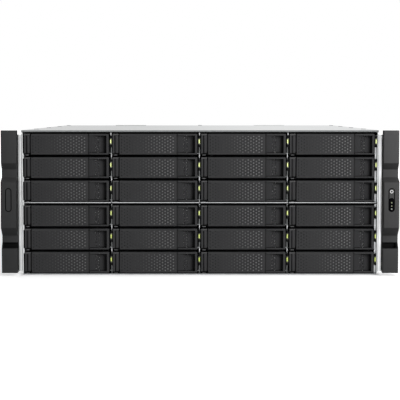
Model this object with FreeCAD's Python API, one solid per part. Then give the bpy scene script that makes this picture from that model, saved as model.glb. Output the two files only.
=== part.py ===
import FreeCAD
import Part
import math
import os

# Rackmount storage server, four rack units high, with drive bays in columns and rows.
# Millimetres. X runs along the front from left to right, Y from the front to the back, Z up.
# Every piece is drawn with Y measured from the plane of the drive fronts. On saving it is moved
# so that the origin lies on the ground under the middle of the whole server.

# Rack panel and sheet metal
RACK_WIDTH = 482.6
RACK_HOLE_SPACING = 465.1
RACK_HOLE_RISE = 101.6
RACK_HOLE_RADIUS = 3.5
CHASSIS_DEPTH = 550.0
SHEET = 1.2
BEND_RADIUS = 2.0
TOP_FLANGE = 12.0
COVER_SET_BACK = 0.2
COVER_LIP = 2.3
COVER_BEND = 1.1

# Drives and the bays that hold them
BAY_COLUMNS = 4
BAY_ROWS = 6
ROWS_BELOW_SHELF = 3
DRIVE_WIDTH = 101.6
DRIVE_HEIGHT = 26.1
DRIVE_LENGTH = 147.0
DRIVE_LIFT = 0.9
DRIVE_LID_INSET = 3.0
DRIVE_LID_STEP = 0.8
DRIVE_SET_BACK = 22.0
DRIVE_GAP = 2.5
DRIVE_PLAY = 0.2
SHELF = 1.8
SEAT_PLAY = 0.3

# Drive cage
CAGE_SET_BACK = 10.4
HEM_WIDTH = 1.9
HEM_DEPTH = 8.0
LEDGE_REACH = 2.3
LEDGE_LIFT = 1.9
LEDGE_THICKNESS = 1.2
LIGHT_PIPE_HEIGHT = 7.7
LIGHT_PIPE_LENGTH = 17.0
LIGHT_PIPE_PROUD = 0.5
LIGHT_PIPE_LIFT = 17.3

# Drive carrier
CARRIER_PLAY = 1.0
CARRIER_RAIL = 1.4
CARRIER_RAIL_HEIGHT = 19.0
CARRIER_LEAD_IN = 4.0
CROSS_BAR_SET_BACK = 12.0
CROSS_BAR_DEPTH = 2.0
CROSS_BAR = 3.5
POST_WIDTH = 2.1
POST_SET_BACK = 0.6
LUG = 1.8
LUG_CORNER = 1.2
CATCH_WIDTH = 5.0

# Ejector lever on the front of each carrier
FRONT_LIFT = 1.2
FRONT_GAP = 3.2
FRONT_SIDE_GAP_RIGHT = 2.0
LEVER_DEPTH = 9.0
LEVER_FACE = 2.4
LEVER_WALL = 1.6
BARREL_RADIUS = 2.3
BARREL_SET_BACK = 0.4
BARREL_PLAY = 0.3
KNUCKLE_GROOVE = 1.0
KNUCKLE_HEEL = 1.2
WEB_THICKNESS = 2.0
SCOOP_WIDTH = 20.4
SCOOP_FRAME = 4.1
SCOOP_RIM = 2.0
SCOOP_DEPTH = 7.6
SCOOP_ENTRY = 0.7
SCOOP_KNEE = 11.0
SCOOP_KNEE_DEPTH = 3.0
SCOOP_GROOVE = 1.4
SCOOP_GROOVE_DEPTH = 0.8

# Rack brackets and the moulded ear covers in front of them
BRACKET = 2.0
BRACKET_BEND = 1.8
BRACKET_LEG = 60.0
BRACKET_LIFT = 4.5
BRACKET_HEIGHT = 167.3
BRACKET_SET_BACK = 1.0
EAR_WIDTH = 18.9
EAR_HEIGHT = 173.5
EAR_RISE = 1.6
EAR_WALL = 2.0
EAR_REACH = 12.0
EAR_PAD_REACH = 17.0
EAR_BRACKET_INSET = 2.5
GROOVE_TOP = 137.1
GROOVE_TOP_HEIGHT = 22.5
GROOVE_TOP_REACH = 5.5
GROOVE_LOW = 58.9
GROOVE_LOW_HEIGHT = 25.6
GROOVE_LOW_REACH = 6.0
GROOVE_SLOPE = 7.4
PAD_SLOPE_TOP = 5.0
PAD_SLOPE_LOW = 10.0
EAR_SLOT_MARGIN = 0.9
PILL_WIDTH = 7.9
PILL_HEIGHT = 29.0
PILL_RECESS = 0.5
PILL_CENTRE_HEIGHT = 92.9

# Power button
BUTTON_RADIUS = 2.3
BUTTON_PLAY = 0.1
BUTTON_PROUD = 0.4
BUTTON_COLLAR = 1.0
BUTTON_COLLAR_THICKNESS = 1.2
BUTTON_RISE = 10.2

# Circuit boards
BOARD = 2.0
BACKPLANE_GAP = 3.0
BACKPLANE_MARGIN = 2.0
BACKPLANE_SLOT_WIDTH = 16.0
BACKPLANE_SLOT_OFFSET = 36.0
CONNECTOR_WIDTH = 42.0
CONNECTOR_HEIGHT = 6.0
MAINBOARD_WIDTH = 305.0
MAINBOARD_DEPTH = 244.0
MAINBOARD_LEFT = -206.0
STANDOFF_HEIGHT = 7.0
STANDOFF_RADIUS = 3.2
STANDOFF_INSET = 12.0
SINK_SIZE = 78.0
SINK_HEIGHT = 58.0
SINK_BASE = 8.0
SINK_FINS = 9
SINK_FIN = 2.0
MEMORY_LENGTH = 133.0
MEMORY_HEIGHT = 31.0
MEMORY_THICKNESS = 4.0
MEMORY_COUNT = 4
MEMORY_PITCH = 10.0

# Sockets on the back
SOCKET_WALL = 0.8
SOCKET_PITCH = 21.0
SOCKET_PROUD = 0.6
SOCKET_PLAY = 0.4
NETWORK_WIDTH = 15.6
NETWORK_HEIGHT = 13.4
NETWORK_DEPTH = 21.0
DATA_WIDTH = 14.6
DATA_HEIGHT = 7.4
DATA_DEPTH = 17.0
DATA_TONGUE = 2.0
FIRST_SOCKET = -24.0

# Expansion slots
SLOT_COUNT = 7
SLOT_PITCH = 20.32
SLOT_WIDTH = 12.5
SLOT_HEIGHT = 102.0
SLOT_LIFT = 24.0
SLOT_FIRST = -197.0
SLOT_COVER_LAP = 2.8

# Fans behind the rear grilles
FAN_SIZE = 80.0
FAN_DEPTH = 25.0
FAN_RIM = 1.5
FAN_CORNER = 5.0
FAN_GAP = 4.0
FAN_FIRST = -2.0
FAN_LIFT = 84.0
FAN_HUB_RADIUS = 16.5
FAN_HUB_LENGTH = 17.0
FAN_MOTOR_SIZE = 26.0
FAN_MOTOR = 4.0
FAN_STRUT = 3.0
FAN_SHAFT_RADIUS = 1.5
FAN_SHAFT_PLAY = 0.05
FAN_TIP_GAP = 1.0
FAN_BLADES = 5
FAN_BLADE_THICKNESS = 1.6
FAN_BLADE_SKEW = 12.0
FAN_RUN_GAP = 0.8
GRILLE_SLOTS = 7
GRILLE_BAR = 3.2

# Power supply modules
PSU_WIDTH = 73.5
PSU_HEIGHT = 39.0
PSU_LENGTH = 185.0
PSU_PLAY = 0.3
PSU_FACE = 1.0
PSU_FACE_LAP = 1.2
PSU_SHELF = 6.0
INLET_LEFT = 5.0
INLET_WIDTH = 24.0
INLET_HEIGHT = 17.0
INLET_DEPTH = 15.0
INLET_PIN_WIDTH = 2.0
INLET_PIN_HEIGHT = 4.0
INLET_PIN_LENGTH = 12.0
INLET_PIN_PITCH = 7.0
INLET_PIN_OFFSET = 2.0
HANDLE_LEFT = 32.0
HANDLE_WIDTH = 8.0
HANDLE_REACH = 26.0
HANDLE_BAR = 4.0
HANDLE_MARGIN = 3.0
HANDLE_CORNER = 7.0
LATCH_LEFT = 43.0
LATCH_WIDTH = 6.0
LATCH_REACH = 14.0
LATCH_HEIGHT = 14.0
VENT_LEFT = 52.0
VENT_WIDTH = 17.0
VENT_SLOTS = 5
VENT_SLOT = 3.0
VENT_DEPTH = 4.0

# Sizes that follow from the ones above
OVERSHOOT = 1.0
BAY_PITCH = DRIVE_WIDTH + 2 * (DRIVE_PLAY + CARRIER_RAIL + CARRIER_PLAY) + SHEET
ROW_PITCH = DRIVE_HEIGHT + DRIVE_GAP
WALL_INSIDE = BAY_COLUMNS * BAY_PITCH / 2 + SHEET / 2
HALF_WIDTH = WALL_INSIDE + SHEET
FLANGE_TOP = 2 * SHEET + BAY_ROWS * ROW_PITCH + SHELF
FLANGE_UNDER = FLANGE_TOP - SHEET
CHASSIS_HEIGHT = FLANGE_TOP + SHEET
MID_HEIGHT = CHASSIS_HEIGHT / 2
PAN_FRONT = COVER_SET_BACK + SHEET + COVER_SET_BACK
CAGE_FRONT = PAN_FRONT + CAGE_SET_BACK
REAR_INSIDE = CHASSIS_DEPTH - SHEET
SHELF_FLOOR = SHEET + ROWS_BELOW_SHELF * ROW_PITCH
DRIVE_BACK = DRIVE_SET_BACK + DRIVE_LENGTH
BACKPLANE_FRONT = DRIVE_BACK + BACKPLANE_GAP
CARRIER_LEFT = SHEET / 2 + CARRIER_PLAY
CARRIER_RIGHT = BAY_PITCH - CARRIER_LEFT
RAIL_LIFT = LEDGE_LIFT + LEDGE_THICKNESS + SEAT_PLAY
FRONT_TOP = FRONT_LIFT + ROW_PITCH - FRONT_GAP
POST_RIGHT = CARRIER_LEFT + POST_WIDTH
HINGE_X = POST_RIGHT + BARREL_PLAY + BARREL_RADIUS
HINGE_Y = BARREL_SET_BACK + BARREL_RADIUS
FACE_LEFT = HINGE_X + BARREL_RADIUS + KNUCKLE_GROOVE
FACE_RIGHT = BAY_PITCH - SHEET / 2 - FRONT_SIDE_GAP_RIGHT
SCOOP_RIGHT = FACE_RIGHT - SCOOP_FRAME
SCOOP_LEFT = SCOOP_RIGHT - SCOOP_WIDTH
EAR_INSIDE = RACK_WIDTH / 2 - EAR_WIDTH
EAR_FLOOR = MID_HEIGHT - EAR_HEIGHT / 2 + EAR_RISE
EAR_MIDDLE = RACK_WIDTH / 2 - EAR_WIDTH / 2
EAR_PAD_FRONT = BRACKET_SET_BACK - EAR_PAD_REACH
MAINBOARD_LEVEL = SHEET + STANDOFF_HEIGHT
MAINBOARD_TOP = MAINBOARD_LEVEL + BOARD
MAINBOARD_BACK = REAR_INSIDE - SOCKET_PLAY
PSU_LEFT = WALL_INSIDE - PSU_PLAY - PSU_WIDTH
PSU_BACK = CHASSIS_DEPTH + PSU_FACE
SLEEVE_LEFT = PSU_LEFT - PSU_PLAY - SHEET
FAN_BORE_RADIUS = FAN_SIZE / 2 - FAN_RIM
FAN_MIDDLE_HEIGHT = FAN_LIFT + FAN_SIZE / 2
FAN_FRONT = REAR_INSIDE - FAN_DEPTH
ORIGIN_Y = (EAR_PAD_FRONT + PSU_BACK + HANDLE_REACH) / 2


def block(x0, x1, y0, y1, z0, z1):
    return Part.makeBox(x1 - x0, y1 - y0, z1 - z0, FreeCAD.Vector(x0, y0, z0))


def polygon_prism(corners, along):
    wire = Part.makePolygon(corners + corners[:1])
    return Part.Face(wire).extrude(along)


def plan_prism(outline, z0, z1):
    corners = [FreeCAD.Vector(x, y, z0) for x, y in outline]
    return polygon_prism(corners, FreeCAD.Vector(0, 0, z1 - z0))


def side_prism(outline, x0, x1):
    corners = [FreeCAD.Vector(x0, y, z) for y, z in outline]
    return polygon_prism(corners, FreeCAD.Vector(x1 - x0, 0, 0))


def front_prism(outline, y0, y1):
    corners = [FreeCAD.Vector(x, y0, z) for x, z in outline]
    return polygon_prism(corners, FreeCAD.Vector(0, y1 - y0, 0))


def rod_y(x, y0, y1, z, radius):
    return Part.makeCylinder(radius, y1 - y0, FreeCAD.Vector(x, y0, z), FreeCAD.Vector(0, 1, 0))


def joined(pieces):
    return pieces[0].multiFuse(pieces[1:]).removeSplitter()


def edges_at(shape, **place):
    """Straight edges of a shape whose two ends both lie at the given x, y or z values."""
    found = []
    for edge in shape.Edges:
        ends = [vertex.Point for vertex in edge.Vertexes]
        if all(abs(getattr(end, axis) - value) < 0.001 for end in ends for axis, value in place.items()):
            found.append(edge)
    return found


def mirrored(shape, side):
    return shape if side > 0 else shape.mirror(FreeCAD.Vector(0, 0, 0), FreeCAD.Vector(1, 0, 0))


def save(node, solids):
    shape = Part.makeCompound([solid for piece in solids for solid in piece.Solids])
    shape.translate(FreeCAD.Vector(0, -ORIGIN_Y, 0))
    shape.exportStep(os.path.join("parts", node + ".step"))


def divider_x(index):
    return (index - BAY_COLUMNS / 2) * BAY_PITCH


def bay_floor(row):
    """Height of a bay's floor, with row 1 at the top."""
    level = BAY_ROWS - row
    above_shelf = level >= ROWS_BELOW_SHELF
    return SHEET + level * ROW_PITCH + (SHELF if above_shelf else 0)


def bays():
    return [(row, column) for row in range(1, BAY_ROWS + 1) for column in range(1, BAY_COLUMNS + 1)]


def in_bay(shape, row, column):
    return shape.translated(FreeCAD.Vector(divider_x(column - 1), 0, bay_floor(row)))


# Chassis pan, rear panel with its slot covers, rack brackets, power supply sleeve and top cover

def pan():
    """Floor, side walls and the inward folds that the cover is screwed to, bent from one sheet."""
    fold = HALF_WIDTH - TOP_FLANGE
    right = [
        (HALF_WIDTH, 0),
        (HALF_WIDTH, FLANGE_TOP),
        (fold, FLANGE_TOP),
        (fold, FLANGE_UNDER),
        (WALL_INSIDE, FLANGE_UNDER),
        (WALL_INSIDE, SHEET),
    ]
    left = [(-x, z) for x, z in reversed(right)]
    shape = front_prism(right + left, PAN_FRONT, CHASSIS_DEPTH)
    bends = edges_at(shape, x=HALF_WIDTH, z=0) + edges_at(shape, x=-HALF_WIDTH, z=0)
    return shape.makeFillet(BEND_RADIUS, bends)


def grille_cuts(x):
    """Upright slots that fill the circle of one fan."""
    pitch = 2 * FAN_BORE_RADIUS / GRILLE_SLOTS
    cuts = []
    for index in range(GRILLE_SLOTS):
        offset = (index - (GRILLE_SLOTS - 1) / 2) * pitch
        half = (pitch - GRILLE_BAR) / 2
        rise = math.sqrt(FAN_BORE_RADIUS**2 - (abs(offset) + half) ** 2)
        cuts.append(
            block(
                x + offset - half,
                x + offset + half,
                REAR_INSIDE - OVERSHOOT,
                CHASSIS_DEPTH + OVERSHOOT,
                FAN_MIDDLE_HEIGHT - rise,
                FAN_MIDDLE_HEIGHT + rise,
            )
        )
    return cuts


def slot_x(index):
    return SLOT_FIRST + index * SLOT_PITCH


def rear_panel():
    """Back wall with openings for the modules, sockets, fans and expansion slots."""
    y0, y1 = REAR_INSIDE - OVERSHOOT, CHASSIS_DEPTH + OVERSHOOT
    cuts = []
    for index in range(2):
        floor = psu_floor(index)
        low, high = floor - PSU_PLAY, floor + PSU_HEIGHT + PSU_PLAY
        cuts.append(block(PSU_LEFT - PSU_PLAY, WALL_INSIDE, y0, y1, low, high))
    for x, z, width, height, depth in socket_places():
        half = width / 2 + SOCKET_PLAY
        cuts.append(block(x - half, x + half, y0, y1, z - SOCKET_PLAY, z + height + SOCKET_PLAY))
    for index in range(SLOT_COUNT):
        half = SLOT_WIDTH / 2
        x = slot_x(index)
        cuts.append(block(x - half, x + half, y0, y1, SLOT_LIFT, SLOT_LIFT + SLOT_HEIGHT))
    for index in range(2):
        cuts += grille_cuts(fan_x(index))
    plate = block(-WALL_INSIDE, WALL_INSIDE, REAR_INSIDE, CHASSIS_DEPTH, SHEET, FLANGE_UNDER)
    return plate.cut(Part.makeCompound(cuts))


def slot_covers():
    half = SLOT_WIDTH / 2 + SLOT_COVER_LAP
    low = SLOT_LIFT - SLOT_COVER_LAP
    high = SLOT_LIFT + SLOT_HEIGHT + SLOT_COVER_LAP
    xs = [slot_x(index) for index in range(SLOT_COUNT)]
    return [block(x - half, x + half, REAR_INSIDE - SHEET, REAR_INSIDE, low, high) for x in xs]


def rack_bracket(side):
    """Steel angle on the side wall, with the flange that is screwed to the rack's post."""
    y0 = BRACKET_SET_BACK
    edge = RACK_WIDTH / 2 - EAR_BRACKET_INSET
    outline = [
        (HALF_WIDTH, y0),
        (edge, y0),
        (edge, y0 + BRACKET),
        (HALF_WIDTH + BRACKET, y0 + BRACKET),
        (HALF_WIDTH + BRACKET, y0 + BRACKET_LEG),
        (HALF_WIDTH, y0 + BRACKET_LEG),
    ]
    shape = plan_prism(outline, BRACKET_LIFT, BRACKET_LIFT + BRACKET_HEIGHT)
    shape = shape.makeFillet(BRACKET_BEND, edges_at(shape, x=HALF_WIDTH, y=y0))
    for rise in (-RACK_HOLE_RISE / 2, RACK_HOLE_RISE / 2):
        x = RACK_HOLE_SPACING / 2
        shape = shape.cut(
            rod_y(x, y0 - OVERSHOOT, y0 + BRACKET + OVERSHOOT, MID_HEIGHT + rise, RACK_HOLE_RADIUS)
        )
    return mirrored(shape, side)


def psu_floor(index):
    return SHEET + PSU_PLAY + index * (PSU_HEIGHT + PSU_SHELF)


def psu_sleeve():
    """Folded sheet that holds the two power supply modules one above the other."""
    shelf = psu_floor(1) - PSU_PLAY
    roof = psu_floor(1) + PSU_HEIGHT + PSU_PLAY
    front = PSU_BACK - PSU_LENGTH
    outline = [
        (SLEEVE_LEFT, SHEET),
        (SLEEVE_LEFT, roof + SHEET),
        (WALL_INSIDE, roof + SHEET),
        (WALL_INSIDE, roof),
        (SLEEVE_LEFT + SHEET, roof),
        (SLEEVE_LEFT + SHEET, shelf),
        (WALL_INSIDE, shelf),
        (WALL_INSIDE, shelf - SHEET),
        (SLEEVE_LEFT + SHEET, shelf - SHEET),
        (SLEEVE_LEFT + SHEET, SHEET),
    ]
    return front_prism(outline, front, REAR_INSIDE)


def top_cover():
    """Lid with a lip folded down over the front edge of the bays."""
    y0 = COVER_SET_BACK
    outline = [
        (y0, CHASSIS_HEIGHT - COVER_LIP),
        (y0, CHASSIS_HEIGHT),
        (CHASSIS_DEPTH, CHASSIS_HEIGHT),
        (CHASSIS_DEPTH, FLANGE_TOP),
        (y0 + SHEET, FLANGE_TOP),
        (y0 + SHEET, CHASSIS_HEIGHT - COVER_LIP),
    ]
    shape = side_prism(outline, -HALF_WIDTH, HALF_WIDTH)
    return shape.makeFillet(COVER_BEND, edges_at(shape, y=y0, z=CHASSIS_HEIGHT))


# Drive cage and its light pipes

def hem_left(index):
    return divider_x(index) + SHEET / 2 - HEM_WIDTH


def light_pipe(row, index):
    z = bay_floor(row) + LIGHT_PIPE_LIFT
    y0 = PAN_FRONT - LIGHT_PIPE_PROUD
    y1 = PAN_FRONT + LIGHT_PIPE_LENGTH
    half = LIGHT_PIPE_HEIGHT / 2
    return block(hem_left(index), hem_left(index) + HEM_WIDTH, y0, y1, z - half, z + half)


def light_pipes():
    return [light_pipe(row, column) for row, column in bays()]


def hem(index):
    """Doubled front edge of a divider, with the nose between two shelf plates."""
    x0 = hem_left(index)
    x1 = divider_x(index) + SHEET / 2
    shelf_top = SHELF_FLOOR + SHELF
    return joined(
        [
            block(x0, divider_x(index), CAGE_FRONT, CAGE_FRONT + HEM_DEPTH, SHEET, FLANGE_UNDER),
            block(x0, x1, PAN_FRONT, CAGE_FRONT + SHEET, SHELF_FLOOR, shelf_top),
        ]
    )


def divider(index):
    """Upright wall between two columns, with a hemmed front edge and the ledges carriers slide on."""
    x = divider_x(index)
    half = SHEET / 2
    pieces = [block(x - half, x + half, CAGE_FRONT, BACKPLANE_FRONT, SHEET, FLANGE_UNDER)]
    if index > 0:
        pieces.append(hem(index))
    left = x if index == 0 else x - half - LEDGE_REACH
    right = x if index == BAY_COLUMNS else x + half + LEDGE_REACH
    y0 = CROSS_BAR_SET_BACK + CROSS_BAR_DEPTH + SEAT_PLAY
    for row in range(1, BAY_ROWS + 1):
        z = bay_floor(row) + LEDGE_LIFT
        pieces.append(block(left, right, y0, BACKPLANE_FRONT, z, z + LEDGE_THICKNESS))
    shape = joined(pieces)
    if index > 0:
        pipes = [light_pipe(row, index) for row in range(1, BAY_ROWS + 1)]
        shape = shape.cut(Part.makeCompound(pipes))
    return shape


def cage_shelf(column):
    left = divider_x(column - 1) + SHEET / 2
    right = divider_x(column) - SHEET / 2
    shape = block(left, right, PAN_FRONT, DRIVE_BACK, SHELF_FLOOR, SHELF_FLOOR + SHELF)
    return shape.cut(hem(column))


# Drive carrier with its drive, drawn in a bay whose left divider and floor are at zero

def carrier_frame():
    """Two side rails and two cross bars with air between them, and the hinge post with its lugs."""
    y0 = CROSS_BAR_SET_BACK
    y1 = y0 + CROSS_BAR_DEPTH
    low = RAIL_LIFT
    high = low + CARRIER_RAIL_HEIGHT
    back = DRIVE_BACK - CARRIER_LEAD_IN
    rail = [
        (y0, low),
        (back, low),
        (DRIVE_BACK, low + CARRIER_LEAD_IN),
        (DRIVE_BACK, high - CARRIER_LEAD_IN),
        (back, high),
        (y0, high),
    ]
    floor = FRONT_LIFT
    pieces = [
        block(CARRIER_LEFT, CARRIER_RIGHT, y0, y1, low, low + CROSS_BAR),
        block(CARRIER_LEFT, CARRIER_RIGHT, y0, y1, high - CROSS_BAR, high),
        side_prism(rail, CARRIER_LEFT, CARRIER_LEFT + CARRIER_RAIL),
        side_prism(rail, CARRIER_RIGHT - CARRIER_RAIL, CARRIER_RIGHT),
        block(CARRIER_LEFT, POST_RIGHT, POST_SET_BACK, y1, floor, FRONT_TOP),
    ]
    lug_right = HINGE_X + BARREL_RADIUS
    lug_front, lug_back = HINGE_Y - BARREL_RADIUS, HINGE_Y + BARREL_RADIUS
    lug = [
        (CARRIER_LEFT, lug_front),
        (lug_right - LUG_CORNER, lug_front),
        (lug_right, lug_front + LUG_CORNER),
        (lug_right, lug_back),
        (CARRIER_LEFT, lug_back),
    ]
    pieces += [plan_prism(lug, z, z + LUG) for z in (floor, FRONT_TOP - LUG)]
    pieces.append(block(CARRIER_RIGHT - CATCH_WIDTH, CARRIER_RIGHT, y0, y1, low, high))
    return joined(pieces)


def drive():
    """Drive casting with its lid set in from the edges."""
    left = (BAY_PITCH - DRIVE_WIDTH) / 2
    right = left + DRIVE_WIDTH
    top = DRIVE_LIFT + DRIVE_HEIGHT
    casting = block(left, right, DRIVE_SET_BACK, DRIVE_BACK, DRIVE_LIFT, top - DRIVE_LID_STEP)
    inset = DRIVE_LID_INSET
    lid = block(
        left + inset,
        right - inset,
        DRIVE_SET_BACK + inset,
        DRIVE_BACK - inset,
        top - DRIVE_LID_STEP,
        top,
    )
    return casting.fuse(lid)


def scoop():
    """Finger recess whose floor falls gently from the left, then steeply to a deep right end."""
    outline = [
        (SCOOP_LEFT, -OVERSHOOT),
        (SCOOP_LEFT, SCOOP_ENTRY),
        (SCOOP_LEFT + SCOOP_KNEE, SCOOP_KNEE_DEPTH),
        (SCOOP_RIGHT, SCOOP_DEPTH),
        (SCOOP_RIGHT, -OVERSHOOT),
    ]
    return plan_prism(outline, FRONT_LIFT + SCOOP_RIM, FRONT_TOP - SCOOP_RIM)


def knuckle(low, high):
    """Hinge knuckle between the lugs, round at the front, with the web that carries the lever."""
    inner = HINGE_Y + WEB_THICKNESS
    left = FreeCAD.Vector(HINGE_X - BARREL_RADIUS, HINGE_Y, low)
    front = FreeCAD.Vector(HINGE_X, HINGE_Y - BARREL_RADIUS, low)
    right = FreeCAD.Vector(HINGE_X + BARREL_RADIUS, HINGE_Y, low)
    web = [
        right,
        FreeCAD.Vector(FACE_LEFT + LEVER_WALL, HINGE_Y, low),
        FreeCAD.Vector(FACE_LEFT + LEVER_WALL, inner, low),
        FreeCAD.Vector(HINGE_X - KNUCKLE_HEEL, inner, low),
        left,
    ]
    edges = [Part.Arc(left, front, right).toShape()]
    edges += [Part.makeLine(start, end) for start, end in zip(web, web[1:])]
    return Part.Face(Part.Wire(edges)).extrude(FreeCAD.Vector(0, 0, high - low))


def lever():
    """Moulded lever, hollow at the back, with a hinge knuckle, a groove and a finger scoop."""
    low, high = FRONT_LIFT, FRONT_TOP
    body = block(FACE_LEFT, FACE_RIGHT, 0, LEVER_DEPTH, low, high)
    hollow = [
        (FACE_LEFT + LEVER_WALL, LEVER_FACE),
        (SCOOP_LEFT, LEVER_FACE),
        (SCOOP_RIGHT - LEVER_WALL, LEVER_DEPTH),
        (SCOOP_RIGHT - LEVER_WALL, LEVER_DEPTH + OVERSHOOT),
        (FACE_LEFT + LEVER_WALL, LEVER_DEPTH + OVERSHOOT),
    ]
    body = body.cut(plan_prism(hollow, low + LEVER_WALL, high - LEVER_WALL))
    body = body.cut(scoop())
    groove_left = SCOOP_LEFT - SCOOP_GROOVE
    body = body.cut(
        block(groove_left, SCOOP_LEFT, -OVERSHOOT, SCOOP_GROOVE_DEPTH, low - OVERSHOOT, high + OVERSHOOT)
    )
    return joined([body, knuckle(low + LUG + BARREL_PLAY, high - LUG - BARREL_PLAY)])


# Ear covers and the power button in the right one

def ear_outline(back):
    """Side view of an ear: two flat ends, a forward pad in the middle and a groove each side of it."""
    flat = BRACKET_SET_BACK - EAR_REACH
    pad = EAR_PAD_FRONT
    top_floor = BRACKET_SET_BACK - GROOVE_TOP_REACH
    low_floor = BRACKET_SET_BACK - GROOVE_LOW_REACH
    pad_top = GROOVE_TOP - GROOVE_TOP_HEIGHT
    low_end = GROOVE_LOW - GROOVE_LOW_HEIGHT
    return [
        (back, EAR_FLOOR),
        (flat, EAR_FLOOR),
        (flat, low_end),
        (low_floor, low_end + GROOVE_SLOPE),
        (low_floor, GROOVE_LOW - PAD_SLOPE_LOW),
        (pad, GROOVE_LOW),
        (pad, pad_top),
        (top_floor, pad_top + PAD_SLOPE_TOP),
        (top_floor, GROOVE_TOP - GROOVE_SLOPE),
        (flat, GROOVE_TOP),
        (flat, EAR_FLOOR + EAR_HEIGHT),
        (back, EAR_FLOOR + EAR_HEIGHT),
    ]


def pill(depth):
    """Upright recess with round ends on the pad."""
    radius = PILL_WIDTH / 2
    rise = PILL_HEIGHT / 2 - radius
    y0 = EAR_PAD_FRONT - OVERSHOOT
    y1 = EAR_PAD_FRONT + depth
    low, high = PILL_CENTRE_HEIGHT - rise, PILL_CENTRE_HEIGHT + rise
    return joined(
        [
            block(EAR_MIDDLE - radius, EAR_MIDDLE + radius, y0, y1, low, high),
            rod_y(EAR_MIDDLE, y0, y1, low, radius),
            rod_y(EAR_MIDDLE, y0, y1, high, radius),
        ]
    )


def finger_slot():
    """Opening in the low groove's lower slope, as wide as the hollow behind it."""
    low = GROOVE_LOW - GROOVE_LOW_HEIGHT
    return block(
        EAR_INSIDE + EAR_WALL,
        RACK_WIDTH / 2 - EAR_WALL,
        EAR_PAD_FRONT,
        BRACKET_SET_BACK - EAR_WALL,
        low + EAR_SLOT_MARGIN,
        low + GROOVE_SLOPE - EAR_SLOT_MARGIN,
    )


def ear_shell():
    outer = side_prism(ear_outline(BRACKET_SET_BACK), EAR_INSIDE, RACK_WIDTH / 2)
    back = BRACKET_SET_BACK + EAR_WALL + OVERSHOOT
    section = Part.Face(
        Part.makePolygon(
            [FreeCAD.Vector(EAR_INSIDE + EAR_WALL, y, z) for y, z in ear_outline(back)]
            + [FreeCAD.Vector(EAR_INSIDE + EAR_WALL, back, EAR_FLOOR)]
        )
    )
    cavity = section.makeOffset2D(-EAR_WALL, 2).extrude(FreeCAD.Vector(EAR_WIDTH - 2 * EAR_WALL, 0, 0))
    return outer.cut(cavity).cut(finger_slot()).cut(pill(PILL_RECESS))


def button_height():
    return PILL_CENTRE_HEIGHT + BUTTON_RISE


def ear_cover(side):
    shape = ear_shell()
    if side > 0:
        y0, y1 = EAR_PAD_FRONT - OVERSHOOT, EAR_PAD_FRONT + EAR_WALL + OVERSHOOT
        shape = shape.cut(rod_y(EAR_MIDDLE, y0, y1, button_height(), BUTTON_RADIUS + BUTTON_PLAY))
    return mirrored(shape, side)


def power_button():
    """Round cap in its bore, with a square collar behind the wall that keeps it in."""
    front = EAR_PAD_FRONT + PILL_RECESS - BUTTON_PROUD
    inside = EAR_PAD_FRONT + EAR_WALL
    z = button_height()
    cap = rod_y(EAR_MIDDLE, front, inside + BUTTON_COLLAR_THICKNESS, z, BUTTON_RADIUS)
    half = BUTTON_RADIUS + BUTTON_COLLAR
    collar = block(
        EAR_MIDDLE - half,
        EAR_MIDDLE + half,
        inside,
        inside + BUTTON_COLLAR_THICKNESS,
        z - half,
        z + half,
    )
    return joined([cap, collar])


# Circuit boards and the sockets on them

def backplane():
    half = WALL_INSIDE - BACKPLANE_MARGIN
    y0, y1 = BACKPLANE_FRONT, BACKPLANE_FRONT + BOARD
    board = block(-half, half, y0, y1, SHEET + SEAT_PLAY, FLANGE_UNDER - SEAT_PLAY)
    cuts = []
    rise = ROWS_BELOW_SHELF * ROW_PITCH
    half_slot = BACKPLANE_SLOT_WIDTH / 2
    for column in range(BAY_COLUMNS):
        x = divider_x(column) + BAY_PITCH / 2 - BACKPLANE_SLOT_OFFSET
        for floor in (SHEET, SHELF_FLOOR + SHELF):
            low, high = floor + BACKPLANE_SLOT_WIDTH, floor + rise - BACKPLANE_SLOT_WIDTH
            cuts.append(block(x - half_slot, x + half_slot, y0 - OVERSHOOT, y1 + OVERSHOOT, low, high))
    return board.cut(Part.makeCompound(cuts))


def drive_connectors():
    shapes = []
    for row, column in bays():
        x = divider_x(column - 1) + BAY_PITCH / 2
        z = bay_floor(row) + DRIVE_LIFT + CONNECTOR_HEIGHT / 2
        half = CONNECTOR_WIDTH / 2
        y0 = DRIVE_BACK + SEAT_PLAY
        shapes.append(block(x - half, x + half, y0, BACKPLANE_FRONT, z, z + CONNECTOR_HEIGHT))
    return shapes


def standoffs():
    """Six-sided posts between the chassis floor and the main board."""
    right = MAINBOARD_LEFT + MAINBOARD_WIDTH - STANDOFF_INSET
    front = MAINBOARD_BACK - MAINBOARD_DEPTH + STANDOFF_INSET
    shapes = []
    for x in (MAINBOARD_LEFT + STANDOFF_INSET, right):
        for y in (front, (front + MAINBOARD_BACK) / 2, MAINBOARD_BACK - STANDOFF_INSET):
            turns = [math.radians(60 * index) for index in range(6)]
            outline = [
                (x + STANDOFF_RADIUS * math.cos(turn), y + STANDOFF_RADIUS * math.sin(turn))
                for turn in turns
            ]
            shapes.append(plan_prism(outline, SHEET, MAINBOARD_LEVEL))
    return shapes


def mainboard():
    y0 = MAINBOARD_BACK - MAINBOARD_DEPTH
    right = MAINBOARD_LEFT + MAINBOARD_WIDTH
    return block(MAINBOARD_LEFT, right, y0, MAINBOARD_BACK, MAINBOARD_LEVEL, MAINBOARD_TOP)


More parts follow.
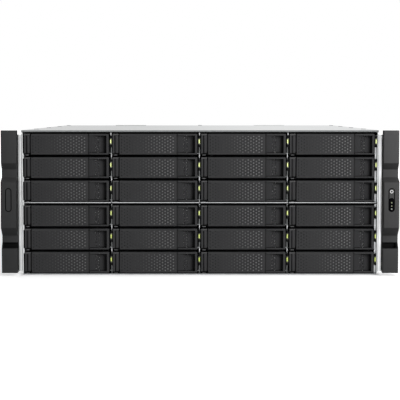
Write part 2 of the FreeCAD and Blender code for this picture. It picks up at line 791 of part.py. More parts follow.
def heat_sink():
    """Comb of upright fins on a base plate, open along the airflow."""
    x0 = MAINBOARD_LEFT + (MAINBOARD_WIDTH - SINK_SIZE) / 2
    y0 = MAINBOARD_BACK - MAINBOARD_DEPTH / 2 - SINK_SIZE / 2
    pitch = (SINK_SIZE - SINK_FIN) / (SINK_FINS - 1)
    base = MAINBOARD_TOP + SINK_BASE
    top = MAINBOARD_TOP + SINK_HEIGHT
    pieces = [block(x0, x0 + SINK_SIZE, y0, y0 + SINK_SIZE, MAINBOARD_TOP, base)]
    for index in range(SINK_FINS):
        left = x0 + index * pitch
        pieces.append(block(left, left + SINK_FIN, y0, y0 + SINK_SIZE, base, top))
    return joined(pieces)


def memory_modules():
    x0 = MAINBOARD_LEFT + (MAINBOARD_WIDTH + SINK_SIZE) / 2 + MEMORY_PITCH
    y0 = MAINBOARD_BACK - MAINBOARD_DEPTH / 2 - MEMORY_LENGTH / 2
    shapes = []
    for index in range(MEMORY_COUNT):
        x = x0 + index * MEMORY_PITCH
        z1 = MAINBOARD_TOP + MEMORY_HEIGHT
        shapes.append(block(x, x + MEMORY_THICKNESS, y0, y0 + MEMORY_LENGTH, MAINBOARD_TOP, z1))
    return shapes


def socket_places():
    """Middle, floor, width, height and depth of every socket along the back edge of the board."""
    kinds = [
        (DATA_WIDTH, DATA_HEIGHT, DATA_DEPTH),
        (DATA_WIDTH, DATA_HEIGHT, DATA_DEPTH),
        (NETWORK_WIDTH, NETWORK_HEIGHT, NETWORK_DEPTH),
        (NETWORK_WIDTH, NETWORK_HEIGHT, NETWORK_DEPTH),
    ]
    return [(FIRST_SOCKET + index * SOCKET_PITCH, MAINBOARD_TOP, *kind) for index, kind in enumerate(kinds)]


def sockets():
    """Metal shells, open to the back, with a tongue in each of the small data sockets."""
    shapes = []
    back = CHASSIS_DEPTH + SOCKET_PROUD
    for x, z, width, height, depth in socket_places():
        half = width / 2
        wall = SOCKET_WALL
        shell = block(x - half, x + half, back - depth, back, z, z + height)
        hole = block(
            x - half + wall,
            x + half - wall,
            back - depth + wall,
            back + OVERSHOOT,
            z + wall,
            z + height - wall,
        )
        shell = shell.cut(hole)
        if height == DATA_HEIGHT:
            middle = z + height / 2
            tongue = DATA_TONGUE / 2
            shell = shell.fuse(
                block(
                    x - half + 2 * wall,
                    x + half - 2 * wall,
                    back - depth,
                    back - wall,
                    middle - tongue,
                    middle + tongue,
                )
            )
        shapes.append(shell)
    return shapes


# Fans behind the rear grilles

def fan_x(index):
    return FAN_FIRST + index * (FAN_SIZE + FAN_GAP)


def fan_frame(x):
    """Frame with cut corners and a round bore, and a motor seat on two struts at the front."""
    z = FAN_MIDDLE_HEIGHT
    half = FAN_SIZE / 2
    flat = half - FAN_CORNER
    y0, y1 = FAN_FRONT, REAR_INSIDE
    quarter = [(half, -flat), (half, flat), (flat, half)]
    outline = quarter + [(-flat, half), (-half, flat), (-half, -flat), (-flat, -half), (flat, -half)]
    frame = front_prism([(x + dx, z + dz) for dx, dz in outline], y0, y1)
    frame = frame.cut(rod_y(x, y0 - OVERSHOOT, y1 + OVERSHOOT, z, FAN_BORE_RADIUS))
    strut = FAN_STRUT / 2
    seat = FAN_MOTOR_SIZE / 2
    reach = FAN_BORE_RADIUS + OVERSHOOT
    pieces = [
        frame,
        block(x - seat, x + seat, y0, y0 + FAN_MOTOR, z - seat, z + seat),
        block(x - reach, x + reach, y0, y0 + FAN_MOTOR, z - strut, z + strut),
    ]
    bearing = rod_y(x, y0 + FAN_RUN_GAP / 2, y1, z, FAN_SHAFT_RADIUS + FAN_SHAFT_PLAY)
    return joined(pieces).cut(bearing)


def fan_rotor(x):
    """Hub with slanting blades on a shaft that runs in the motor seat."""
    z = FAN_MIDDLE_HEIGHT
    y0 = FAN_FRONT + FAN_MOTOR + FAN_RUN_GAP
    y1 = y0 + FAN_HUB_LENGTH
    half = FAN_BLADE_THICKNESS / 2
    skew = FAN_BLADE_SKEW / 2
    outline = [
        (x - skew - half, y0 + half),
        (x - skew + half, y0 + half),
        (x + skew + half, y1 - half),
        (x + skew - half, y1 - half),
    ]
    tip = math.sqrt((FAN_BORE_RADIUS - FAN_TIP_GAP) ** 2 - (skew + half) ** 2)
    blade = plan_prism(outline, z + FAN_HUB_RADIUS / 2, z + tip)
    axis = FreeCAD.Vector(x, 0, z)
    blades = []
    for index in range(FAN_BLADES):
        turned = blade.copy()
        turned.rotate(axis, FreeCAD.Vector(0, 1, 0), 360 / FAN_BLADES * index)
        blades.append(turned)
    hub = rod_y(x, y0, y1, z, FAN_HUB_RADIUS)
    shaft = rod_y(x, FAN_FRONT + FAN_RUN_GAP, y1, z, FAN_SHAFT_RADIUS)
    return joined([hub, shaft] + blades)


# Power supply modules

def psu_case(floor):
    """Closed module with a face that stops on the rear panel, a mains inlet and an air outlet."""
    x0, x1 = PSU_LEFT, PSU_LEFT + PSU_WIDTH
    top = floor + PSU_HEIGHT
    lap = PSU_FACE_LAP
    case = block(x0, x1, PSU_BACK - PSU_LENGTH, PSU_BACK, floor, top)
    face = block(x0 - lap, x1 + lap, CHASSIS_DEPTH, PSU_BACK, floor - lap, top + lap)
    shape = joined([case, face])
    middle = floor + PSU_HEIGHT / 2
    inlet_left = x0 + INLET_LEFT
    inlet_middle = inlet_left + INLET_WIDTH / 2
    cuts = [
        block(
            inlet_left,
            inlet_left + INLET_WIDTH,
            PSU_BACK - INLET_DEPTH,
            PSU_BACK + OVERSHOOT,
            middle - INLET_HEIGHT / 2,
            middle + INLET_HEIGHT / 2,
        )
    ]
    pitch = PSU_HEIGHT / (VENT_SLOTS + 1)
    for index in range(VENT_SLOTS):
        z = floor + (index + 1) * pitch
        left = x0 + VENT_LEFT
        y0 = PSU_BACK - VENT_DEPTH
        half = VENT_SLOT / 2
        cuts.append(block(left, left + VENT_WIDTH, y0, PSU_BACK + OVERSHOOT, z - half, z + half))
    shape = shape.cut(Part.makeCompound(cuts))
    half_width = INLET_PIN_WIDTH / 2
    half_height = INLET_PIN_HEIGHT / 2
    y0 = PSU_BACK - INLET_DEPTH - OVERSHOOT
    pins = []
    for offset in (-1, 0, 1):
        x = inlet_middle + offset * INLET_PIN_PITCH
        z = middle - INLET_PIN_OFFSET + (1 - abs(offset)) * 2 * INLET_PIN_OFFSET
        y1 = PSU_BACK - INLET_DEPTH + INLET_PIN_LENGTH
        pins.append(block(x - half_width, x + half_width, y0, y1, z - half_height, z + half_height))
    return joined([shape] + pins)


def psu_handle(floor):
    """Upright pull loop with rounded outer corners."""
    x0 = PSU_LEFT + HANDLE_LEFT
    low, high = floor + HANDLE_MARGIN, floor + PSU_HEIGHT - HANDLE_MARGIN
    end = PSU_BACK + HANDLE_REACH
    loop = block(x0, x0 + HANDLE_WIDTH, PSU_BACK, end, low, high)
    corners = edges_at(loop, y=end, z=low) + edges_at(loop, y=end, z=high)
    loop = loop.makeFillet(HANDLE_CORNER, corners)
    return loop.cut(
        block(
            x0 - OVERSHOOT,
            x0 + HANDLE_WIDTH + OVERSHOOT,
            PSU_BACK - OVERSHOOT,
            end - HANDLE_BAR,
            low + HANDLE_BAR,
            high - HANDLE_BAR,
        )
    )


def psu_latch(floor):
    """Thumb tab that springs the module free, sloped on its upper side."""
    x0 = PSU_LEFT + LATCH_LEFT
    low = floor + (PSU_HEIGHT - LATCH_HEIGHT) / 2
    outline = [
        (PSU_BACK, low),
        (PSU_BACK + LATCH_REACH, low),
        (PSU_BACK + LATCH_REACH, low + LATCH_HEIGHT / 3),
        (PSU_BACK, low + LATCH_HEIGHT),
    ]
    return side_prism(outline, x0, x0 + LATCH_WIDTH)


# All nodes

os.makedirs("parts", exist_ok=True)

brackets = [rack_bracket(-1), rack_bracket(1)]
frames = [fan_frame(fan_x(index)) for index in range(2)]
save("chassis", [pan(), psu_sleeve()] + brackets)
save("rear_panel", [rear_panel()] + slot_covers() + frames)
save("top_cover", [top_cover()])
dividers = [divider(index) for index in range(BAY_COLUMNS + 1)]
shelves = [cage_shelf(column) for column in range(1, BAY_COLUMNS + 1)]
save("drive_cage", dividers + shelves)
save("light_pipes", light_pipes())
save("ear_covers", [ear_cover(-1), ear_cover(1)])
save("power_button", [power_button()])
main_pieces = [mainboard(), heat_sink()] + memory_modules() + standoffs() + sockets()
save("circuit_boards", [backplane()] + drive_connectors() + main_pieces)
for index in range(2):
    save("fan_rotor_" + str(index + 1), [fan_rotor(fan_x(index))])
    floor = psu_floor(index)
    save("psu_" + str(index + 1), [psu_case(floor), psu_handle(floor), psu_latch(floor)])

frame_shape = carrier_frame()
drive_shape = drive()
lever_shape = lever()
for row, column in bays():
    place = "_r" + str(row) + "_c" + str(column)
    save("tray" + place, [in_bay(frame_shape, row, column), in_bay(drive_shape, row, column)])
    save("lever" + place, [in_bay(lever_shape, row, column)])
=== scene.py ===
from math import pi, radians

import bpy
from mathutils import Matrix, Vector


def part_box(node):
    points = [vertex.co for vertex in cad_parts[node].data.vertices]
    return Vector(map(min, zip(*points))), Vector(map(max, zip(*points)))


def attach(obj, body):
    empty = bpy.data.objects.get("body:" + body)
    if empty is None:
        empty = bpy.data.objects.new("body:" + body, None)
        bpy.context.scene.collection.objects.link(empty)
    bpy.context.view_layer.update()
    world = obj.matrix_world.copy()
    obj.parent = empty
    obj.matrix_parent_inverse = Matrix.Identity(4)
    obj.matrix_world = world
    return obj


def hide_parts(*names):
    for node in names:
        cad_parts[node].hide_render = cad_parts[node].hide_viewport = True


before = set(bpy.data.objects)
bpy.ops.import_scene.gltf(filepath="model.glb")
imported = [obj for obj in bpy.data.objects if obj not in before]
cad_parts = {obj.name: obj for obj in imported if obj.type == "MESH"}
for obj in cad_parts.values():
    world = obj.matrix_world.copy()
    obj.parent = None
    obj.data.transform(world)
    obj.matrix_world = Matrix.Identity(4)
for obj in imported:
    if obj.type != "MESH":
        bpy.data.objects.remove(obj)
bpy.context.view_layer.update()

# Chassis
# The pan of floor, side walls and top folds is bent from one sheet of zinc-coated steel. The power
# supply sleeve is spot-welded inside it and a rack bracket is screwed to each side wall.
MM = 0.001


def shader_node(tree, kind, **values):
    """Adds a shader node and sets its unlinked inputs."""
    node = tree.nodes.new("ShaderNode" + kind)
    for name, value in values.items():
        node.inputs[name.replace("_", " ")].default_value = value
    return node


def wire(tree, source, output, target, entry):
    tree.links.new(source.outputs[output], target.inputs[entry])


def new_finish(name, **values):
    """A material with a shader whose constant sockets are set: (material, tree, shader)."""
    material = bpy.data.materials.new(name)
    material.use_nodes = True
    shader = material.node_tree.nodes["Principled BSDF"]
    for entry, value in values.items():
        shader.inputs[entry.replace("_", " ")].default_value = value
    return material, material.node_tree, shader


def blend_colours(tree, mask, output, dark, light, shader, entry="Base Color"):
    """A ramp from a dark to a light colour along a mask, wired to the shader."""
    ramp = shader_node(tree, "ValToRGB")
    ramp.color_ramp.elements[0].color = (*dark, 1)
    ramp.color_ramp.elements[1].color = (*light, 1)
    wire(tree, mask, output, ramp, "Fac")
    wire(tree, ramp, "Color", shader, entry)
    return ramp


def raise_relief(tree, mask, output, strength, distance, shader):
    """A bump from a mask, wired to the shader's normal."""
    bump = shader_node(tree, "Bump", Strength=strength, Distance=distance)
    wire(tree, mask, output, bump, "Height")
    wire(tree, bump, "Normal", shader, "Normal")


def new_group(name, entry):
    """A node group of one input that gives a shade and a relief: (group, input, output, place)."""
    group = bpy.data.node_groups.new(name, "ShaderNodeTree")
    group.interface.new_socket(entry, in_out="INPUT", socket_type="NodeSocketFloat")
    for result in ("Shade", "Relief"):
        group.interface.new_socket(result, in_out="OUTPUT", socket_type="NodeSocketFloat")
    kinds = ("NodeGroupInput", "NodeGroupOutput", "ShaderNodeTexCoord")
    return group, *[group.nodes.new(kind) for kind in kinds]


# Zinc-coated sheet: flat crystals of slightly different greys and faint rolling streaks.
zinc_group, given, result, place = new_group("zinc_crystals", "Crystals per metre")
crystals = shader_node(zinc_group, "TexVoronoi")
wire(zinc_group, place, "Object", crystals, "Vector")
wire(zinc_group, given, "Crystals per metre", crystals, "Scale")
parts = shader_node(zinc_group, "SeparateColor")
wire(zinc_group, crystals, "Color", parts, "Color")
stretch = shader_node(zinc_group, "Mapping", Scale=(6, 90, 90))
wire(zinc_group, place, "Object", stretch, "Vector")
streaks = shader_node(zinc_group, "TexNoise", Scale=4, Detail=3)
wire(zinc_group, stretch, "Vector", streaks, "Vector")
both = shader_node(zinc_group, "Mix", Factor=0.45)
wire(zinc_group, parts, "Red", both, "A")
wire(zinc_group, streaks, "Fac", both, "B")
wire(zinc_group, both, "Result", result, "Shade")
wire(zinc_group, streaks, "Fac", result, "Relief")
GRAIN_HEIGHT = 0.2 * MM


def grain_finish(name, group, grains, smooth, rough, relief, **values):
    """A material whose roughness and bump follow a node group: (material, tree, shader, grain)."""
    material, tree, shader = new_finish(name, **values)
    grain = shader_node(tree, "Group")
    grain.node_tree = group
    grain.inputs[0].default_value = grains
    span = shader_node(tree, "MapRange", To_Min=smooth, To_Max=rough)
    wire(tree, grain, "Shade", span, "Value")
    wire(tree, span, "Result", shader, "Roughness")
    raise_relief(tree, grain, "Relief", relief, GRAIN_HEIGHT, shader)
    return material, tree, shader, grain


def zinc_finish(name, dark, light, crystals, smooth, rough):
    material, tree, shader, zinc = grain_finish(
        name, zinc_group, crystals, smooth, rough, 0.08, Metallic=1.0
    )
    blend_colours(tree, zinc, "Shade", dark, light, shader)
    return material


def dress(node, *finishes, by=None):
    """Gives a CAD node its materials, with its faces shared out by their middle and normal."""
    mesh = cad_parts[node].data
    mesh.materials.clear()
    for finish in finishes:
        mesh.materials.append(finish)
    for face in mesh.polygons:
        face.material_index = by(face.center, face.normal) if by else 0


def block(name, low, high):
    """A block between two corners, with its place and size in its mesh."""
    bpy.ops.object.select_all(action="DESELECT")
    bpy.ops.mesh.primitive_cube_add(size=1, location=(Vector(low) + Vector(high)) / 2)
    made = bpy.context.object
    made.name = name
    made.scale = Vector(high) - Vector(low)
    bpy.ops.object.transform_apply(location=True, rotation=True, scale=True)
    return made


def select(made):
    """Selects one piece alone and makes it the active one."""
    bpy.ops.object.select_all(action="DESELECT")
    made.select_set(True)
    bpy.context.view_layer.objects.active = made


def pick(made, kind, test):
    """Enters edit mode with the vertices, edges or faces selected that a test takes."""
    select(made)
    bpy.ops.object.mode_set(mode="EDIT")
    bpy.ops.mesh.select_mode(type=kind)
    bpy.ops.mesh.select_all(action="DESELECT")
    bpy.ops.object.mode_set(mode="OBJECT")
    mesh = made.data
    if kind == "VERT":
        for vertex in mesh.vertices:
            vertex.select = test(vertex.co)
    if kind == "EDGE":
        for edge in mesh.edges:
            ends = [mesh.vertices[index].co for index in edge.vertices]
            edge.select = test(ends[0], ends[1])
    if kind == "FACE":
        for face in mesh.polygons:
            face.select = test(face.center, face.normal)
    bpy.ops.object.mode_set(mode="EDIT")


def leave():
    bpy.ops.object.mode_set(mode="OBJECT")


def bevel(made, offset, segments, test, kind="EDGE"):
    """Rounds the edges that a test takes, or all edges of the faces that it takes."""
    pick(made, kind, test)
    bpy.ops.mesh.bevel(offset=offset * MM, segments=segments, affect="EDGES")
    leave()


def smooth(made, angle=35):
    """Smooth shading, with a sharp edge wherever two faces meet at more than an angle."""
    select(made)
    bpy.ops.object.shade_smooth_by_angle(angle=radians(angle))


def copy_to(made, name, offset=(0, 0, 0)):
    """A copy with its own mesh, moved in the mesh."""
    other = made.copy()
    other.data = made.data.copy()
    other.name = name
    other.data.transform(Matrix.Translation(offset))
    bpy.context.collection.objects.link(other)
    return other


def join(pieces, name):
    """One piece from several."""
    bpy.ops.object.select_all(action="DESELECT")
    for piece in pieces:
        piece.select_set(True)
    bpy.context.view_layer.objects.active = pieces[0]
    bpy.ops.object.join()
    pieces[0].name = name
    pieces[0].data.name = name
    return pieces[0]


def paint(made, finish, test=None):
    """Adds a material, on all faces or on those that a test on middle and normal takes."""
    made.data.materials.append(finish)
    number = len(made.data.materials) - 1
    for face in made.data.polygons:
        if test is None or test(face.center, face.normal):
            face.material_index = number


def mount(made, finish):
    """Paints and smooths a piece and fixes it to the chassis."""
    paint(made, finish)
    smooth(made)
    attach(made, "chassis")


def cut(made, tool, operation="DIFFERENCE"):
    """Cuts a tool's shape out of a piece, or adds it, and removes the tool."""
    change = made.modifiers.new("cut", "BOOLEAN")
    change.operation = operation
    change.solver = "EXACT"
    change.object = tool
    select(made)
    bpy.ops.object.modifier_apply(modifier=change.name)
    bpy.data.objects.remove(tool)


zinc_sheet = zinc_finish("zinc_sheet", (0.36, 0.37, 0.38), (0.50, 0.51, 0.52), 130, 0.36, 0.52)
bracket_zinc = zinc_finish("bracket_zinc", (0.46, 0.47, 0.47), (0.58, 0.59, 0.59), 160, 0.32, 0.45)
edge_highlight_zinc = zinc_finish("edge_highlight_zinc", (0.68, 0.69, 0.69), (0.79, 0.80, 0.80), 160, 0.32, 0.45)
highlight_zinc = zinc_finish("highlight_zinc", (0.86, 0.87, 0.88), (0.95, 0.96, 0.97), 160, 0.28, 0.4)
WALL_OUTSIDE = 217.85 * MM
PAN_FRONT = -0.277
FLOOR_TOP = 1.3 * MM


# Front faces of the pan and the left bracket are painted a bright zinc, a painted highlight, and
# the right bracket's front a brighter one still, standing in for light from the right.
def chassis_share(middle, normal):
    if normal.y < -0.3 and middle.y < PAN_FRONT and middle.z > FLOOR_TOP:
        return 3 if middle.x > WALL_OUTSIDE else 2
    return 1 if abs(middle.x) > WALL_OUTSIDE else 0


dress("chassis", zinc_sheet, bracket_zinc, edge_highlight_zinc, highlight_zinc, by=chassis_share)
screw_steel = zinc_finish("screw_steel", (0.30, 0.30, 0.31), (0.40, 0.40, 0.41), 900, 0.26, 0.38)


def rod(name, vertices, radius, length, middle, upright=False):
    """A round rod round a point, along Y or upright, with its place in its mesh."""
    bpy.ops.object.select_all(action="DESELECT")
    bpy.ops.mesh.primitive_cylinder_add(
        vertices=vertices,
        radius=radius * MM,
        depth=length * MM,
        location=middle,
        rotation=(0 if upright else pi / 2, 0, 0),
    )
    bpy.ops.object.transform_apply(location=True, rotation=True, scale=True)
    made = bpy.context.object
    made.name = name
    return made


def round_head(name, radius, height):
    """A low round head, its seat at the origin and its top up."""
    head = rod(name, 20, radius, height, (0, 0, height / 2 * MM), upright=True)
    bevel(head, 0.45 * height, 3, lambda middle, normal: normal.z > 0.9, "FACE")
    return head


def screw_head(name, radius, height):
    """A round head with a cross recess."""
    head = round_head(name, radius, height)
    arm = 0.62 * radius * MM
    half = 0.15 * radius * MM
    for across, along in ((arm, half), (half, arm)):
        recess = block(
            "recess", (-across, -along, 0.4 * height * MM), (across, along, 2 * height * MM)
        )
        cut(head, recess)
    return head


def place_heads(head, name, finish, places):
    """Copies of a head as one piece, each at a point in mm and looking along a direction."""
    copies = []
    for number, (point, way) in enumerate(places):
        turn = Vector((0, 0, 1)).rotation_difference(Vector(way)).to_matrix().to_4x4()
        copy = copy_to(head, f"{name}_{number}")
        copy.data.transform(Matrix.Translation(Vector(point) * MM) @ turn)
        copies.append(copy)
    bpy.data.objects.remove(head)
    mount(join(copies, name), finish)


WALL = 217.8
BRACKET_OUTSIDE = 219.8
sides = (-1, 1)


def on_sides(across, alongs, ups):
    """Places for heads on both side walls, looking outward."""
    points = [(along, up) for along in alongs for up in ups]
    return [((side * across, *point), (side, 0, 0)) for side in sides for point in points]


place_heads(
    screw_head("bracket_screw", 3.4, 1.6),
    "bracket_screws",
    screw_steel,
    on_sides(BRACKET_OUTSIDE, (-255, -230), (24, 88, 152)),
)
place_heads(
    round_head("cage_rivet", 2.3, 0.8),
    "cage_rivets",
    zinc_sheet,
    on_sides(WALL, (-196, -126), (29.4, 58, 88, 117, 145.6)),
)
stud = round_head("rail_stud", 3.0, 2.2)
pick(stud, "FACE", lambda middle, normal: normal.z > 0.9)
bpy.ops.mesh.extrude_region_move(TRANSFORM_OT_translate={"value": (0, 0, 0.1 * MM)})
bpy.ops.transform.resize(value=(2.1, 2.1, 1))
bpy.ops.mesh.extrude_region_move(TRANSFORM_OT_translate={"value": (0, 0, 1.5 * MM)})
bpy.ops.mesh.inset(thickness=0.5 * MM)
leave()
place_heads(stud, "rail_studs", screw_steel, on_sides(WALL, (-160, 30, 220), (88.5,)))

# Rear panel
# A punched zinc-coated plate riveted between the side walls. Seven steel slot covers are screwed on
# and two black plastic fan frames stand behind the grilles.

# Moulded plastic: the fine grain of a spark-eroded mould and slow changes of shade.
mould_group, given, result, place = new_group("mould_grain", "Grains per metre")
grain = shader_node(mould_group, "TexNoise", Detail=2)
wire(mould_group, place, "Object", grain, "Vector")
wire(mould_group, given, "Grains per metre", grain, "Scale")
clouds = shader_node(mould_group, "TexNoise", Scale=22, Detail=2)
wire(mould_group, place, "Object", clouds, "Vector")
both = shader_node(mould_group, "Mix", Factor=0.35)
wire(mould_group, clouds, "Fac", both, "A")
wire(mould_group, grain, "Fac", both, "B")
wire(mould_group, both, "Result", result, "Shade")
wire(mould_group, grain, "Fac", result, "Relief")


def moulded_finish(name, dark, light, grains, smooth, rough, gloss, relief=0.12):
    material, tree, shader, mould = grain_finish(
        name, mould_group, grains, smooth, rough, relief, Specular_IOR_Level=gloss
    )
    blend_colours(tree, mould, "Shade", dark, light, shader)
    return material


def cool(level):
    """A grey with a trace of blue."""
    return (level, level, level + 0.001)


fan_plastic = moulded_finish("fan_plastic", cool(0.012), cool(0.02), 900, 0.42, 0.55, 0.35)
# Everything behind the plate is painted black fan plastic: the fan frames in their own colour, and
# the slot covers as painted shade seen through the punched plates.
PLATE_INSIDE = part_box("rear_panel")[1].y - 1.25 * MM
dress("rear_panel", zinc_sheet, fan_plastic, by=lambda middle, normal: int(middle.y < PLATE_INSIDE))


def repeat(made, count, step):
    """Repeats a piece inside its mesh, each copy a step further on."""
    select(made)
    array = made.modifiers.new("array", "ARRAY")
    array.count = count
    array.use_relative_offset = False
    array.use_constant_offset = True
    array.constant_offset_displace = step
    bpy.ops.object.modifier_apply(modifier=array.name)


SLOTS = 7
SLOT_PITCH = 20.32
FIRST_SLOT = -197.0
COVER_BACK = 268.3
PUNCHED_ROWS = 13
PUNCHED_PITCH = 7.0
slot_steel = zinc_finish("slot_steel", (0.56, 0.57, 0.58), (0.68, 0.69, 0.70), 300, 0.30, 0.42)
slot_plate = block(
    "slot_plate",
    Vector((FIRST_SLOT - 6.2, COVER_BACK, 24.1)) * MM,
    Vector((FIRST_SLOT + 6.2, COVER_BACK + 0.5, 125.9)) * MM,
)
punch = block(
    "punch",
    Vector((FIRST_SLOT - 4.1, COVER_BACK - 1, 31.0)) * MM,
    Vector((FIRST_SLOT + 4.1, COVER_BACK + 2, 34.4)) * MM,
)
bevel(punch, 1.2, 3, lambda a, b: abs(a.y - b.y) > 1 * MM)
repeat(punch, PUNCHED_ROWS, (0, 0, PUNCHED_PITCH * MM))
cut(slot_plate, punch)


def spread(made, name, offsets):
    """Copies of a piece at some offsets, joined into one piece that takes its place."""
    copies = [copy_to(made, f"{name}_{number}", offset) for number, offset in enumerate(offsets)]
    bpy.data.objects.remove(made)
    return join(copies, name)


slot_offsets = [Vector((slot * SLOT_PITCH * MM, 0, 0)) for slot in range(SLOTS)]
mount(spread(slot_plate, "slot_plates", slot_offsets), slot_steel)
REAR = 269.5
FAN_HOLES = 35.75
FAN_MIDDLES = (-2, 82)
FAN_UP = 124
hole_offsets = (-FAN_HOLES, FAN_HOLES)
rear_points = [
    (middle + across, FAN_UP + up)
    for middle in FAN_MIDDLES
    for across in hole_offsets
    for up in hole_offsets
]
rear_points += [(FIRST_SLOT + SLOT_PITCH * slot, 133.5) for slot in range(SLOTS)]
rear_points += [(across, up) for across in (-210, 210) for up in (104, 160)]
place_heads(
    screw_head("rear_screw", 2.8, 1.3),
    "rear_screws",
    screw_steel,
    [((across, REAR, up), (0, 1, 0)) for across, up in rear_points],
)

# Fan rotors
# Each rotor is one black moulding of hub and blades, on a shaft that runs in the frame's bearing.
for rotor in ("fan_rotor_1", "fan_rotor_2"):
    dress(rotor, fan_plastic)

# Circuit boards
# The backplane and main board are glass laminate under green solder mask with copper tracks showing
# through. Sockets are steel shells, connectors and memory slots black plastic, the sink aluminium.
board_laminate, tree, shader = new_finish("board_laminate", Roughness=0.34)
place = shader_node(tree, "TexCoord")
tracks = shader_node(tree, "TexVoronoi", Scale=190)
tracks.distance = "MANHATTAN"
wire(tree, place, "Object", tracks, "Vector")
blend = blend_colours(
    tree, tracks, "Distance", (0.012, 0.070, 0.032), (0.028, 0.125, 0.058), shader
)
blend.color_ramp.interpolation = "CONSTANT"
blend.color_ramp.elements[1].position = 0.55
raise_relief(tree, tracks, "Distance", 0.2, 0.0001, shader)
connector_plastic_and_shade = moulded_finish(
    "connector_plastic_and_shade", cool(0.01), cool(0.018), 1200, 0.38, 0.5, 0.4
)
sink_metal = zinc_finish("sink_metal", (0.60, 0.61, 0.62), (0.74, 0.75, 0.76), 900, 0.28, 0.40)
BOARD_TOP = 10.25 * MM
SINK_RIGHT = -14.0 * MM
BACKPLANE_FRONT = -108.4 * MM
SOCKETS_START = 245.0 * MM
SOCKET_RIM = 269.9 * MM
SOCKET_FLOOR = 10.9 * MM
SOCKETS = ((-24, 6.6, 17.0), (-3, 6.6, 17.0), (18, 7.1, 23.0), (39, 7.1, 23.0))


# Socket insides are painted black connector plastic: partly their black housings, partly painted
# shade in the hollows.
def in_socket(middle):
    return SOCKETS_START < middle.y < SOCKET_RIM and any(
        abs(middle.x - across * MM) < half * MM and SOCKET_FLOOR < middle.z < top * MM
        for across, half, top in SOCKETS
    )


def board_share(middle, normal):
    before = middle.y < BACKPLANE_FRONT - 1 * MM
    if in_socket(middle) or before or middle.y < BACKPLANE_FRONT and abs(normal.y + 1) > 0.01:
        return 1
    if middle.y > 0 and middle.z > BOARD_TOP:
        return 2 if middle.y > SOCKETS_START or middle.x < SINK_RIGHT else 1
    return 0


dress("circuit_boards", board_laminate, connector_plastic_and_shade, sink_metal, by=board_share)
socket_plate = block(
    "socket_plate", Vector((-37, REAR, 5.5)) * MM, Vector((52, REAR + 0.3, 28.0)) * MM
)
bevel(socket_plate, 2.0, 3, lambda a, b: abs(a.y - b.y) > 0.1 * MM)
for across, half, top in SOCKETS:
    opening = block(
        "opening",
        Vector((across - half - 1.1, REAR - 1, 9.8)) * MM,
        Vector((across + half + 1.1, REAR + 1, top + 1.0)) * MM,
    )
    cut(socket_plate, opening)
mount(socket_plate, slot_steel)

# Power supply modules
# A zinc-coated steel case slides in a sleeve. Its back has a punched air field, a mains inlet, a
# black pull handle and a coloured latch, both of moulded plastic.
module_case = zinc_finish("module_case", (0.44, 0.45, 0.46), (0.58, 0.59, 0.60), 220, 0.34, 0.48)
handle_plastic_and_shade = moulded_finish("handle_plastic_and_shade", cool(0.014), cool(0.022), 1100, 0.38, 0.5, 0.4)
latch_plastic = moulded_finish(
    "latch_plastic", (0.020, 0.150, 0.085), (0.030, 0.190, 0.110), 1100, 0.35, 0.48, 0.4
)
LATCH_LEFT = 184.0 * MM
INLET_RIGHT = 172.3 * MM
INLET_MARGIN = 147.3 * MM
INLET_FLOOR = 254 * MM
INLET_INSIDE = 269.9 * MM
MODULE_BACK = 270.6 * MM
VENT_LEFT = 194.5 * MM
VENT_RIGHT = 212.1 * MM
VENT_FLOOR = 266 * MM
VENT_OUTSIDE = 270.4 * MM


# The inlet's inside is black plastic; the vent slots' insides are painted it too, painted shade.
def module_share(middle, normal):
    if middle.y > MODULE_BACK:
        return 2 if middle.x > LATCH_LEFT else 1
    inlet = INLET_MARGIN < middle.x < INLET_RIGHT and INLET_FLOOR < middle.y < INLET_INSIDE
    vent = VENT_LEFT < middle.x < VENT_RIGHT and VENT_FLOOR < middle.y < VENT_OUTSIDE
    return int(inlet or vent)


for module in ("psu_1", "psu_2"):
    dress(module, module_case, handle_plastic_and_shade, latch_plastic, by=module_share)

# Drive cage
# Five upright dividers with hemmed fronts and pressed ledges, and a shelf plate in each column at
# mid height, all folded from zinc-coated steel and riveted to the pan.
cage_zinc = zinc_finish("cage_zinc", (0.38, 0.39, 0.40), (0.50, 0.51, 0.52), 150, 0.34, 0.48)
shelf_zinc = zinc_finish("shelf_zinc", (0.50, 0.51, 0.52), (0.62, 0.63, 0.64), 150, 0.34, 0.48)
# Black felt, put where the front shows only shade: the strips and faces painted with it are painted
# shade.
shade_felt = moulded_finish(
    "shade_felt", (0.003, 0.003, 0.003), (0.007, 0.007, 0.007), 2500, 0.8, 0.95, 0.02, 0.3
)
SHELF_LOW = 86.9 * MM
SHELF_TOP = 88.9 * MM
LAST_DIVIDER = 0.21
HEM_FRONT = -0.268
hem_shade_zinc = zinc_finish("hem_shade_zinc", (0.22, 0.23, 0.23), (0.29, 0.30, 0.30), 150, 0.36, 0.48)


# Shelf fronts are painted black felt, a painted shade; the inner dividers' hem fronts are painted a
# darker zinc, a painted shade, and the last divider's a bright zinc, a painted highlight.
def cage_share(middle, normal):
    if normal.y > -0.9:
        return 0
    if SHELF_LOW < middle.z < SHELF_TOP and middle.y < PAN_FRONT:
        return 1
    if middle.y > HEM_FRONT:
        return 0
    return 3 if middle.x > LAST_DIVIDER else 2


dress("drive_cage", cage_zinc, shade_felt, hem_shade_zinc, highlight_zinc, by=cage_share)

SHELF_ROW = 3
FLOOR_ROW = 6
LAST_BAY = 4
BAYS = [(row, column) for row in range(1, FLOOR_ROW + 1) for column in range(1, LAST_BAY + 1)]
first_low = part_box("lever_r1_c1")[0]
FRONT = first_low.y
BAY_LEFT = first_low.x - 4.0 * MM
BAY_FLOOR = first_low.z - 1.2 * MM


def in_bay(across, inward, up):
    """A point of the top left bay, in mm from its divider, the tray fronts and its floor."""
    return Vector((BAY_LEFT + across * MM, FRONT + inward * MM, BAY_FLOOR + up * MM))


def bay_offset(row, column):
    """From the top left bay to another one."""
    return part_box(f"lever_r{row}_c{column}")[0] - first_low


